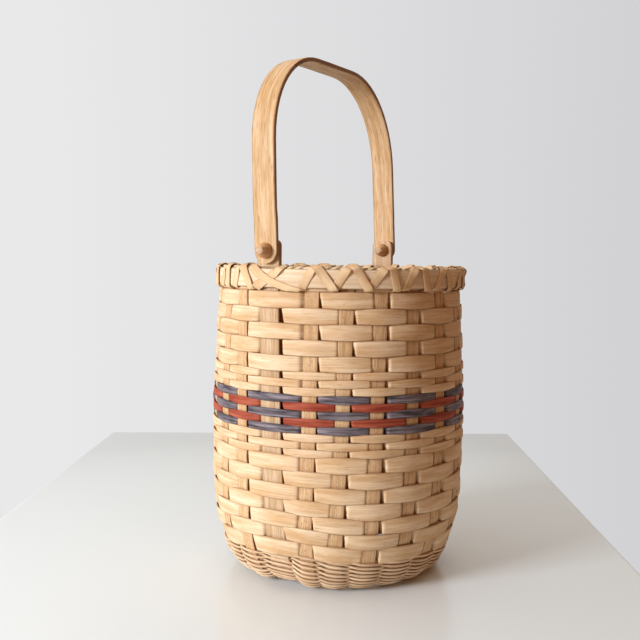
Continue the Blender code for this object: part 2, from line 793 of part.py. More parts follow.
def add_handle_and_pivots(collection, cutters):
    inner_base = RIM_RADIUS - EAR_THICKNESS / 2 - FIT_GAP
    leg_inner = RIM_RADIUS + EAR_THICKNESS / 2 + RUN_GAP
    outer_base = leg_inner + HANDLE_THICKNESS + RUN_GAP
    holes = []
    for label, side, number in (("left", -1, 0), ("right", 1, STAKE_COUNT // 2)):
        hole = add_cutter(f"pin_hole_{label}", side, cutters)
        holes.append(hole)
        add_ear(f"ear_{label}", UPRIGHTS[number], side, hole, collection)
        add_pin(f"pivot_pin_{label}", inner_base - CAP_HEIGHT, outer_base + CAP_HEIGHT, side, collection)
        add_cap(f"pivot_cap_inner_{label}", side * inner_base, -side, collection)
        add_cap(f"pivot_cap_outer_{label}", side * outer_base, side, collection)
    add_handle(holes, leg_inner + HANDLE_THICKNESS / 2, collection)


def main():
    for obj in list(bpy.data.objects):
        bpy.data.objects.remove(obj)
    basket = make_collection("splint_basket")
    cutters = make_collection("cutters_and_guides")
    add_stakes(basket)
    add_weavers(basket)
    add_false_row(basket)
    add_twining(basket, cutters)
    add_hoop("rim_hoop_inner", RIM_RADIUS - HOOP_SPACE - HOOP_THICKNESS, basket)
    add_hoop("rim_hoop_outer", RIM_RADIUS + HOOP_SPACE, basket)
    add_fillers(basket)
    add_lashings(basket)
    add_handle_and_pivots(basket, cutters)


main()
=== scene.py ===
"""Looks of the splint basket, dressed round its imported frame.

Ten half-inch stakes cross in a mat and stand up as the wall, 23 flat rows weave round them, two round reeds
are twined round the foot, two hoops, a rope filler and two crossing lashings bind the rim, and a bentwood
bail swings on pegged ears. Metres, +Z up, the bail's hinge line along X.
"""

from __future__ import annotations

import logging
import math
from bisect import bisect_left
from collections.abc import Iterable, Sequence
from dataclasses import dataclass, field, replace
from enum import Enum

import bmesh
import bpy
from mathutils import Matrix, Quaternion, Vector, noise

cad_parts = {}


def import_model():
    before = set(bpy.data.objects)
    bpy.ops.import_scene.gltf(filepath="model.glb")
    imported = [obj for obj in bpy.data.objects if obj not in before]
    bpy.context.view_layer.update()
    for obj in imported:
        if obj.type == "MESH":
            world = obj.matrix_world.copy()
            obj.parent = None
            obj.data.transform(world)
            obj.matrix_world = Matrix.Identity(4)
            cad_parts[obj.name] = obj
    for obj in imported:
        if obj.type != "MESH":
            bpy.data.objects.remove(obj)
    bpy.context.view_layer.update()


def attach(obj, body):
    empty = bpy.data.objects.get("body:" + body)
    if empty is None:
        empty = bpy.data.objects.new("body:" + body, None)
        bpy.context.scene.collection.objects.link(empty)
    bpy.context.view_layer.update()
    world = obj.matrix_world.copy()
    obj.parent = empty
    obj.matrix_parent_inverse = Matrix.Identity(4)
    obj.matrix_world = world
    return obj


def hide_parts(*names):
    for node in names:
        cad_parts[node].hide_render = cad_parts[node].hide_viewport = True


LOG = logging.getLogger("splint_basket")
MM = 0.001
UP = Vector((0, 0, 1))
STRIP_CREASE = math.radians(50)
TURNED_CREASE = math.radians(40)
# What the sweep reads at each point of a guide
GUIDE_VECTORS = ("across", "facing")
GUIDE_NUMBERS = ("width", "thickness", "tuck", "run")


class Body(Enum):
    """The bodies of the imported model."""

    BASKET = "basket"
    BAIL = "bail"


class Slot(Enum):
    """The record's material slots."""

    NATURAL = "reed_natural"
    BLUE = "reed_blue"
    RED = "reed_red"
    HARDWOOD = "hardwood"


def linear(colour: str) -> tuple[float, float, float, float]:
    """Turns an sRGB hex colour into a linear one.

    Args:
        colour: The colour as #rrggbb.

    Returns:
        Red, green, blue and an alpha of 1.
    """
    parts = (int(colour[at : at + 2], 16) / 255 for at in (1, 3, 5))
    red, green, blue = (part / 12.92 if part <= 0.04045 else ((part + 0.055) / 1.055) ** 2.4 for part in parts)
    return red, green, blue, 1.0


def find_socket(sockets: Iterable[bpy.types.NodeSocket], key: str | int) -> bpy.types.NodeSocket:
    """Finds a node's socket by its place or by its name among those in use.

    Args:
        sockets: The node's inputs or outputs.
        key: Its number or its name.

    Returns:
        The socket.
    """
    if isinstance(key, int):
        return list(sockets)[key]
    return next(socket for socket in sockets if socket.name == key and socket.enabled)


def add_node(
    tree: bpy.types.NodeTree, kind: str, inputs: dict | None = None, **settings: object
) -> bpy.types.Node:
    """Adds a node with its settings and what goes into it.

    Args:
        tree: The tree that it joins.
        kind: Blender's name of the node's type.
        inputs: A value, or another node's output, by input name or number.
        settings: The node's own settings.

    Returns:
        The new node.
    """
    node = tree.nodes.new(kind)
    for name, value in settings.items():
        setattr(node, name, value)
    for key, value in (inputs or {}).items():
        target = find_socket(node.inputs, key)
        if isinstance(value, bpy.types.NodeSocket):
            tree.links.new(value, target)
        else:
            target.default_value = value
    return node


def put(name: str, data: bpy.types.ID) -> bpy.types.Object:
    """A new object in the scene for a mesh, a lamp or the camera.

    Args:
        name: The object's name.
        data: The mesh, lamp or camera.

    Returns:
        The object, at the origin.
    """
    made = bpy.data.objects.new(name, data)
    bpy.context.scene.collection.objects.link(made)
    return made


def drift(seed: float, place: float) -> float:
    """A smooth number from about -1 to 1 that changes along place and is its own for each seed."""
    return 2 * noise.noise(Vector((place, seed * 7.31, 0.37)))


def ease(share: float) -> float:
    """A share from 0 to 1, eased at both ends."""
    return (1 - math.cos(math.pi * min(max(share, 0), 1))) / 2


def bezier(controls: Sequence[Vector], share: float) -> Vector:
    """The point of a cubic curve at a share of its way.

    Args:
        controls: Its four control points.
        share: From 0 at its start to 1 at its end.

    Returns:
        The point.
    """
    rest = 1 - share
    weights = (rest**3, 3 * rest**2 * share, 3 * rest * share**2, share**3)
    return sum((point * weight for point, weight in zip(controls, weights)), Vector([0] * len(controls[0])))


@dataclass
class Guide:
    """The way that a strip or strand runs, with its size and the way that its face looks at each point.

    Start is where its run begins in the finish's pattern, so that each piece has a grain of its own.
    """

    start: float = 0.0
    closed: bool = False
    spots: list[Vector] = field(default_factory=list)
    outs: list[Vector] = field(default_factory=list)
    widths: list[float] = field(default_factory=list)
    thicknesses: list[float] = field(default_factory=list)
    tucks: list[float] = field(default_factory=list)

    def add(self, spot: Vector, out: Vector, width: float, thickness: float, tuck: float = 0.0) -> None:
        """Adds a point at the end.

        Args:
            spot: The point.
            out: The way that the strip's outer face looks there.
            width: The strip's width.
            thickness: The strip's thickness.
            tuck: How far it is tucked under others there, from 0 to 1; the finish paints shade by it.
        """
        self.spots.append(spot)
        self.outs.append(out)
        self.widths.append(width)
        self.thicknesses.append(thickness)
        self.tucks.append(tuck)

    def rounded(self) -> Guide:
        """A copy with its corners cut, as a bent strip has them.

        Returns:
            The new guide.
        """
        smooth = Guide(self.start, self.closed)
        last = len(self.spots) if self.closed else len(self.spots) - 1
        for index in range(last):
            after = (index + 1) % len(self.spots)
            for share in (0.25, 0.75):
                ways = [way[index].lerp(way[after], share) for way in (self.spots, self.outs)]
                sizes = (self.widths, self.thicknesses, self.tucks)
                smooth.add(*ways, *(size[index] + share * (size[after] - size[index]) for size in sizes))
        return smooth

    def turned(self, turn: Matrix, pivot: Vector) -> None:
        """Turns the whole way about a pivot."""
        self.spots = [pivot + turn @ (spot - pivot) for spot in self.spots]
        self.outs = [turn @ out for out in self.outs]

    def mesh(self, name: str) -> bpy.types.Mesh:
        """A line of edges with what the sweep reads at each point.

        Args:
            name: The mesh's name.

        Returns:
            The mesh.
        """
        count = len(self.spots)
        edges = [(index, index + 1) for index in range(count - 1)]
        if self.closed:
            edges.append((count - 1, 0))
        across, facing, runs = [], [], []
        run = self.start
        for index, (spot, out) in enumerate(zip(self.spots, self.outs)):
            before = self.spots[index - 1] if self.closed or index else spot
            after = self.spots[(index + 1) % count] if self.closed or index < count - 1 else spot
            side = (after - before).cross(out).normalized()
            across.extend(side)
            facing.extend(side.cross(after - before).normalized())
            run += (spot - self.spots[index - 1]).length if index else 0
            runs.append(run)
        mesh = bpy.data.meshes.new(name)
        mesh.from_pydata(self.spots, edges, [])
        for key, values in zip(GUIDE_VECTORS, (across, facing)):
            mesh.attributes.new(key, "FLOAT_VECTOR", "POINT").data.foreach_set("vector", values)
        for key, values in zip(GUIDE_NUMBERS, (self.widths, self.thicknesses, self.tucks, runs)):
            mesh.attributes.new(key, "FLOAT", "POINT").data.foreach_set("value", values)
        return mesh


@dataclass(frozen=True)
class Section:
    """A strip's rounded section.

    Lower shares for edge and face give squarer edges and a flatter face, and crown is how far the outer
    face domes, as a share of half the thickness.
    """

    corners: int = 12
    edge: float = 0.55
    face: float = 0.5
    crown: float = 0.0


OVAL_REED = Section(corners=14, edge=0.45, face=0.5, crown=0.45)
SPLIT_REED = Section(corners=14, edge=0.6, face=0.7, crown=0.5)
FLAT_REED = Section(corners=14, edge=0.42, face=0.42, crown=0.08)
HOOP_REED = Section(corners=18, edge=0.5, face=0.45, crown=0.3)
ROUND_REED = Section(corners=10, edge=1.0, face=1.0)
BOARD = Section(corners=28, edge=0.3, face=0.16, crown=0.04)
# The arithmetic of a section at each point of a strip: a result's name, the operation and what goes in. Side and
# rise run from -1 to 1 round the ring and are raised to a share with their sign kept, and the crown lifts the
# outer half.
SECTION_STEPS = (
    ("side size", "ABSOLUTE", "ring x"),
    ("side power", "POWER", "side size", "Edge"),
    ("side sign", "SIGN", "ring x"),
    ("side", "MULTIPLY", "side power", "side sign"),
    ("rise size", "ABSOLUTE", "ring y"),
    ("rise power", "POWER", "rise size", "Face"),
    ("rise sign", "SIGN", "ring y"),
    ("flat rise", "MULTIPLY", "rise power", "rise sign"),
    ("side square", "MULTIPLY", "side", "side"),
    ("middle", "SUBTRACT", 1.0, "side square"),
    ("middle crown", "MULTIPLY", "middle", "Crown"),
    ("outer half", "MAXIMUM", "flat rise", 0.0),
    ("dome", "MULTIPLY", "middle crown", "outer half"),
    ("rise", "ADD", "flat rise", "dome"),
    ("outer face", "MAXIMUM", "rise", 0.0),
    # Painted shade: the outer face's share of how far the strip is tucked under others
    ("hidden", "MULTIPLY", "tuck", "outer face"),
    ("half width", "MULTIPLY", "width", 0.5),
    ("half thickness", "MULTIPLY", "thickness", 0.5),
    ("side reach", "MULTIPLY", "side", "half width"),
    ("rise reach", "MULTIPLY", "rise", "half thickness"),
)


class StripTree:
    """Geometry Nodes tree that sweeps a rounded section along a guide and lays its UV map out in metres."""

    def __init__(self) -> None:
        """Makes the tree with its named inputs."""
        self.tree = bpy.data.node_groups.new("Swept strip", "GeometryNodeTree")
        self.tree.is_modifier = True
        self.keys: dict[str, str] = {}
        kinds = {"Guide": "Geometry", "Corners": "Int", "Edge": "Float", "Face": "Float", "Crown": "Float"}
        for name, kind in {**kinds, "Fill Ends": "Bool", "Finish": "Material"}.items():
            made = self.tree.interface.new_socket(name, in_out="INPUT", socket_type=f"NodeSocket{kind}")
            self.keys[name] = made.identifier
        self.tree.interface.new_socket("Strip", in_out="OUTPUT", socket_type="NodeSocketGeometry")
        self._build()

    def _build(self) -> None:
        """Builds the tree's nodes."""
        tree = self.tree
        given = tree.nodes.new("NodeGroupInput").outputs
        place = tree.nodes.new("GeometryNodeInputPosition").outputs[0]
        path = add_node(tree, "GeometryNodeMeshToCurve", {"Mesh": given["Guide"]})
        circle = add_node(tree, "GeometryNodeCurvePrimitiveCircle", {"Resolution": given["Corners"], "Radius": 1.0})
        kept = []
        for curve, name in ((path, "spot"), (circle, "round")):
            capture = tree.nodes.new("GeometryNodeCaptureAttribute")
            capture.capture_items.new("VECTOR", name)
            tree.links.new(curve.outputs[0], capture.inputs["Geometry"])
            tree.links.new(place, capture.inputs[name])
            kept.append(capture.outputs)
        line, ring = kept
        sweep = {"Curve": line["Geometry"], "Profile Curve": ring["Geometry"], "Fill Caps": given["Fill Ends"]}
        swept = add_node(tree, "GeometryNodeCurveToMesh", {**sweep, "Scale": MM})
        corner = add_node(tree, "ShaderNodeSeparateXYZ", {0: ring["round"]}).outputs
        found = {"ring x": corner[0], "ring y": corner[1], **{name: given[name] for name in ("Edge", "Face", "Crown")}}
        for name in GUIDE_VECTORS + GUIDE_NUMBERS:
            kind = "FLOAT_VECTOR" if name in GUIDE_VECTORS else "FLOAT"
            read = add_node(tree, "GeometryNodeInputNamedAttribute", {"Name": name}, data_type=kind)
            found[name] = find_socket(read.outputs, "Attribute")
        for name, operation, *terms in SECTION_STEPS:
            values = {at: found.get(term, term) for at, term in enumerate(terms)}
            found[name] = add_node(tree, "ShaderNodeMath", values, operation=operation).outputs[0]
        spot = line["spot"]
        for way, reach in zip(GUIDE_VECTORS, ("side reach", "rise reach")):
            values = {0: found[way], "Scale": found[reach]}
            move = add_node(tree, "ShaderNodeVectorMath", values, operation="SCALE").outputs[0]
            spot = add_node(tree, "ShaderNodeVectorMath", {0: spot, 1: move}, operation="ADD").outputs[0]
        plan = add_node(tree, "ShaderNodeCombineXYZ", {0: found["run"], 1: found["side reach"]}).outputs[0]
        shape = add_node(tree, "GeometryNodeSetPosition", {"Geometry": swept.outputs[0], "Position": spot}).outputs[0]
        # Stores the UV map in metres, and the side and the tuck that the finish turns into painted shade
        for name, value, kind, domain in (
            ("UVMap", plan, "FLOAT2", "CORNER"),
            ("edge", found["side"], "FLOAT", "POINT"),
            ("hidden", found["hidden"], "FLOAT", "POINT"),
        ):
            values = {"Geometry": shape, "Name": name, "Value": value}
            store = add_node(tree, "GeometryNodeStoreNamedAttribute", values, data_type=kind, domain=domain)
            shape = store.outputs[0]
        smooth = add_node(tree, "GeometryNodeSetShadeSmooth", {"Geometry": shape})
        real = add_node(tree, "GeometryNodeRealizeInstances", {"Geometry": smooth.outputs[0]})
        dressed = add_node(tree, "GeometryNodeSetMaterial", {"Geometry": real.outputs[0], "Material": given["Finish"]})
        add_node(tree, "NodeGroupOutput", {0: dressed.outputs[0]})

    def sweep(self, name: str, guide: Guide, section: Section, finish: bpy.types.Material) -> bpy.types.Mesh:
        """Sweeps one strip.

        Args:
            name: The mesh's name.
            guide: The way that it runs.
            section: The shape of its section.
            finish: Its material.

        Returns:
            The plain mesh, with its faces outwards.
        """
        values = {
            "Corners": section.corners,
            "Edge": section.edge,
            "Face": section.face,
            "Crown": section.crown,
            "Fill Ends": not guide.closed,
            "Finish": finish,
        }
        return evaluate(name, guide.mesh(f"{name}_guide"), self.tree, self.keys, values)


def evaluate(
    name: str, source: bpy.types.Mesh, tree: bpy.types.NodeTree, keys: dict[str, str], values: dict[str, object]
) -> bpy.types.Mesh:
    """Runs a Geometry Nodes tree on a mesh.

    Args:
        name: The new mesh's name.
        source: The mesh that the tree reads.
        tree: The tree.
        keys: The identifier of each of the tree's inputs.
        values: What each input is set to.

    Returns:
        The result as a plain mesh, with its faces outwards.
    """
    carrier = put(f"{name}_carrier", source)
    modifier = carrier.modifiers.new("Shape", "NODES")
    modifier.node_group = tree
    for key, value in values.items():
        modifier[keys[key]] = value
    depsgraph = bpy.context.evaluated_depsgraph_get()
    mesh = bpy.data.meshes.new_from_object(carrier.evaluated_get(depsgraph))
    mesh.name = name
    bpy.data.objects.remove(carrier)
    bpy.data.meshes.remove(source)
    for key in GUIDE_VECTORS + GUIDE_NUMBERS:
        if key in mesh.attributes:
            mesh.attributes.remove(mesh.attributes[key])
    shell = bmesh.new()
    shell.from_mesh(mesh)
    bmesh.ops.recalc_face_normals(shell, faces=shell.faces)
    shell.to_mesh(mesh)
    shell.free()
    mesh.set_sharp_from_angle(angle=STRIP_CREASE)
    return mesh


def joined(name: str, meshes: Sequence[bpy.types.Mesh]) -> bpy.types.Mesh:
    """Several meshes of one finish as one mesh.

    Args:
        name: The new mesh's name.
        meshes: The meshes, which are removed.

    Returns:
        The new mesh.
    """
    whole = bmesh.new()
    for mesh in meshes:
        whole.from_mesh(mesh)
    made = bpy.data.meshes.new(name)
    whole.to_mesh(made)
    whole.free()
    made.materials.append(meshes[0].materials[0])
    for mesh in meshes:
        bpy.data.meshes.remove(mesh)
    return made


def lathe(name: str, profile: Sequence[tuple[float, float]], base: Vector, axis: Vector, sides: int) -> bpy.types.Mesh:
    """Turns a profile into a closed round piece.

    Args:
        name: The mesh's name.
        profile: Distance along the axis and radius of each ring, from the base to the tip.
        base: Where the axis starts.
        axis: The way that it points.
        sides: How many sides it is turned in.

    Returns:
        The turned mesh, with UV in metres: along its axis and across it.
    """
    turn = UP.rotation_difference(axis)
    shape = bmesh.new()
    layer = shape.loops.layers.uv.new("UVMap")
    angles = [2 * math.pi * side / sides for side in range(sides)]
    rings = [
        [shape.verts.new(base + turn @ Vector((radius * math.cos(at), radius * math.sin(at), along))) for at in angles]
        for along, radius in profile
    ]
    for low, high in zip(rings, rings[1:]):
        for side in range(sides):
            after = (side + 1) % sides
            shape.faces.new((low[side], low[after], high[after], high[side]))
    shape.faces.new(reversed(rings[0]))
    shape.faces.new(rings[-1])
    bmesh.ops.recalc_face_normals(shape, faces=shape.faces)
    for face in shape.faces:
        for loop in face.loops:
            local = turn.inverted() @ (loop.vert.co - base)
            loop[layer].uv = (local.z, local.x)
    mesh = bpy.data.meshes.new(name)
    shape.to_mesh(mesh)
    shape.free()
    mesh.shade_smooth()
    mesh.set_sharp_from_angle(angle=TURNED_CREASE)
    return mesh


def show(name: str, mesh: bpy.types.Mesh, body: Body, node: str) -> None:
    """Puts a finished piece in the scene.

    Args:
        name: The piece's name.
        mesh: Its mesh, with its place in it.
        body: The body that it rides on.
        node: The CAD node that it stands for.
    """
    piece = put(name, mesh)
    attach(piece, body.value)
    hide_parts(node)
    LOG.info("%s: %d faces on %s", name, len(mesh.polygons), body.value)


@dataclass(frozen=True)
class ReedFinish:
    """Flat reed, split and shaved from rattan core.

    Its long straight fibres show as fine darker lines along the strip, its tone drifts from straw to tan
    every few centimetres, and it is dry and matt. Real fibres lie about 0.4 mm apart: they are drawn coarser,
    because such fine ones don't show in the render. The wooden pieces use the same pattern at their own sizes.
    Shade is painted into the colour too: darker along each strip's edges, where strips meet, and darker still
    where a strip is tucked under others.
    """

    name: str
    pale: str
    body: str
    fibre: str
    fleck_and_edge_shade: str
    fibre_mm: float = 0.8
    fibre_length_mm: float = 45.0
    tone_mm: float = 55.0
    tone_across_mm: float = 14.0
    fibre_strength: float = 0.5
    fleck_share: float = 0.3
    fleck_from: float = 0.68
    fleck_length_mm: float = 5.0
    roughness: float = 0.62
    gloss: float = 0.12
    bump: float = 0.5
    bump_mm: float = 0.25
    ior: float = 1.45
    # Painted shade along the strip's edges: how dark, and from what share of its half width
    edge_shade: float = 0.7
    edge_from: float = 0.86
    # The colour painted as shade where a strip is tucked under others
    deep: str = "#96663a"

    def build(self) -> bpy.types.Material:
        """Builds the material's nodes.

        Returns:
            The material.
        """
        material = bpy.data.materials.new(self.name)
        material.use_nodes = True
        tree = material.node_tree
        shader = tree.nodes["Principled BSDF"]
        uv = add_node(tree, "ShaderNodeUVMap", uv_map="UVMap").outputs[0]
        grains = []
        # The length and width of a grain, how fine the noise goes, and where it starts, so that no two are the same
        for along_mm, across_mm, detail, shift in (
            (self.tone_mm, self.tone_across_mm, 3.0, 3.1),
            (self.fibre_length_mm * 3, self.fibre_mm * 3, 2.0, 9.7),
            (self.fibre_length_mm, self.fibre_mm, 3.0, 17.3),
            (self.fleck_length_mm, self.fibre_mm, 1.0, 29.9),
        ):
            scale = (1 / (along_mm * MM), 1 / (across_mm * MM), 1.0)
            at = add_node(tree, "ShaderNodeMapping", {"Vector": uv, "Location": (shift, shift, shift), "Scale": scale})
            values = {"Vector": at.outputs[0], "Scale": 1.0, "Detail": detail, "Roughness": 0.6}
            grains.append(add_node(tree, "ShaderNodeTexNoise", values).outputs[0])
        tone, bands, fibres, flecks = grains
        edge, hidden = (
            find_socket(add_node(tree, "ShaderNodeAttribute", attribute_name=name).outputs, "Fac")
            for name in ("edge", "hidden")
        )
        side = add_node(tree, "ShaderNodeMath", {0: edge}, operation="ABSOLUTE").outputs[0]
        colour = linear(self.pale)
        # Each goes over the last: what drives it, the range where it comes in, its most, and its colour. The last two
        # are painted shade: along the strip's edges, and where it is tucked under others
        for value, low, high, top, over in (
            (tone, 0.35, 0.65, 1.0, self.body),
            (bands, 0.45, 0.75, self.fibre_strength, self.fibre),
            (fibres, 0.5, 0.72, self.fibre_strength, self.fibre),
            (flecks, self.fleck_from, self.fleck_from + 0.1, self.fleck_share, self.fleck_and_edge_shade),
            (side, self.edge_from, 1.0, self.edge_shade, self.fleck_and_edge_shade),
            (hidden, 0.0, 1.0, 1.0, self.deep),
        ):
            ends = {"From Min": low, "From Max": high, "To Min": 0.0, "To Max": top}
            share = add_node(tree, "ShaderNodeMapRange", {"Value": value, **ends})
            values = {"Factor": share.outputs[0], "A": colour, "B": linear(over)}
            colour = find_socket(add_node(tree, "ShaderNodeMix", values, data_type="RGBA").outputs, "Result")
        tree.links.new(colour, shader.inputs["Base Color"])
        lines = add_node(tree, "ShaderNodeMath", {0: bands, 1: fibres}, operation="ADD").outputs[0]
        bump = add_node(tree, "ShaderNodeBump", {"Strength": self.bump, "Distance": self.bump_mm * MM, "Height": lines})
        tree.links.new(bump.outputs[0], shader.inputs["Normal"])
        shader.inputs["Roughness"].default_value = self.roughness
        shader.inputs["IOR"].default_value = self.ior
        shader.inputs["Specular IOR Level"].default_value = self.gloss
        return material


# Reed shaved flat from the core: straw to tan in soft streaks and short brown flecks, with painted shade along its
# edges
NATURAL_WEAVER = ReedFinish(
    "Shaved rattan reed", "#f6dcb8", "#deb688", "#c09766", "#93673e",
    fibre_mm=0.7, fibre_length_mm=34, tone_mm=50, tone_across_mm=8,
    fleck_share=0.45, fleck_from=0.64, fleck_length_mm=9, edge_shade=0.8, edge_from=0.84,
)
# The same reed from a coarser core, split across its open pores, which show as many short dashes; its edges carry more
# painted shade
NATURAL_STAKE = ReedFinish(
    "Open-grained rattan stake", "#e9c69a", "#dab184", "#b2895a", "#835833",
    fibre_mm=0.7, fibre_length_mm=11, fibre_strength=0.7,
    fleck_share=0.7, fleck_from=0.62, fleck_length_mm=3, edge_shade=0.85,
)
# Reed dyed before it was woven: the dye took in patches, so slate goes over into worn grey within a few cm; its painted
# shade under other strips is near black
BLUE_WEAVER = ReedFinish(
    "Slate-dyed reed", "#a0969a", "#4a434a", "#332e34", "#252126",
    deep="#1c1517", tone_mm=26, tone_across_mm=3, fibre_strength=0.7, fleck_share=0.4,
)
# The same, dyed rust red: its fibres took more of the dye than the pith between them, so they are darker lines; its
# painted shade under other strips is a dark red-brown
RED_WEAVER = ReedFinish(
    "Rust-dyed reed", "#bf6850", "#97402c", "#742a1a", "#562013",
    deep="#3c140a", tone_mm=26, tone_across_mm=3, fleck_share=0.4,
)
# Round reed drawn through a die: an even pale skin, with painted shade that starts early towards its sides, where the
# strands meet
ROUND_RATTAN = ReedFinish(
    "Round rattan reed", "#f3d8b4", "#dab58d", "#ab835b", "#785336", fibre_mm=0.7, tone_mm=30, edge_from=0.78
)
# Grass laid into a rope: paler than reed, and the ribs of its blades stand up more
SEAGRASS = ReedFinish("Twisted seagrass", "#f9ecd3", "#e9d3ac", "#bb9b6b", "#82643a", fibre_mm=0.6, bump=0.8)
# Reed shaved thin enough to bend double: its fibres hardly show
LASHING_REED = ReedFinish(
    "Narrow lashing reed", "#f1d3ab", "#e3bd8e", "#c29a6a", "#8f643d",
    fibre_mm=0.6, fibre_strength=0.3, fleck_share=0.2,
)
# Oak shaved smooth and bent round: one pale tone with long straight lines
HOOP_SPLINT = ReedFinish(
    "Shaved oak hoop", "#f9e5c6", "#eccfab", "#c9a678", "#8f643d", fibre_length_mm=70, tone_across_mm=5
)
# Ash bent over steam and rubbed smooth by hands: long brown pores and a low sheen
ASH_BAIL = ReedFinish(
    "Steam-bent ash", "#eacaa0", "#d1a876", "#ad8250", "#845934",
    fibre_mm=0.9, fibre_length_mm=40, tone_mm=38, tone_across_mm=5,
    fleck_share=0.6, fleck_from=0.6, fleck_length_mm=15, roughness=0.5, bump=0.3,
)
# The ears were split from the same ash and are a little greyer
EAR_ASH = replace(ASH_BAIL, name="Riven ash ear", pale="#e3c8a5", body="#cba77d", fibre="#a67d52")
# Dense wood off the lathe: reddish, with close short grain, and the smoothest piece
TURNED_PEG = ReedFinish(
    "Turned hardwood peg", "#e6bb8b", "#d2a074", "#986b43", "#6f4a2b",
    fibre_mm=0.9, fibre_length_mm=12, tone_mm=10, roughness=0.45, bump=0.2,
)
# A dowel's sawn end: duller and greyer than the peg round it
DOWEL_END = ReedFinish(
    "Cut dowel", "#dcc3a7", "#c8a98a", "#a47f5a", "#805b3a", fibre_mm=0.6, fibre_length_mm=8, tone_mm=8
)


class Finishes:
    """Builds each finish once."""

    def __init__(self) -> None:
        """Starts with none made."""
        self._made: dict[str, bpy.types.Material] = {}

    def get(self, finish: ReedFinish) -> bpy.types.Material:
        """The material of a finish.

        Args:
            finish: The finish.

        Returns:
            Its material, which is built once.
        """
        if finish.name not in self._made:
            self._made[finish.name] = finish.build()
        return self._made[finish.name]


@dataclass(frozen=True)
class Upright:
    """A stake or an ear's tail in the wall: its place half-way up and its lean to the rim and to the foot."""

    number: int
    angle: float
    rim_turn: float
    foot_turn: float
    half_width: float
    is_ear: bool

    def outside(self, row: int) -> bool:
        """Whether a row passes outside it."""
        return (row + self.number) % 2 == 1


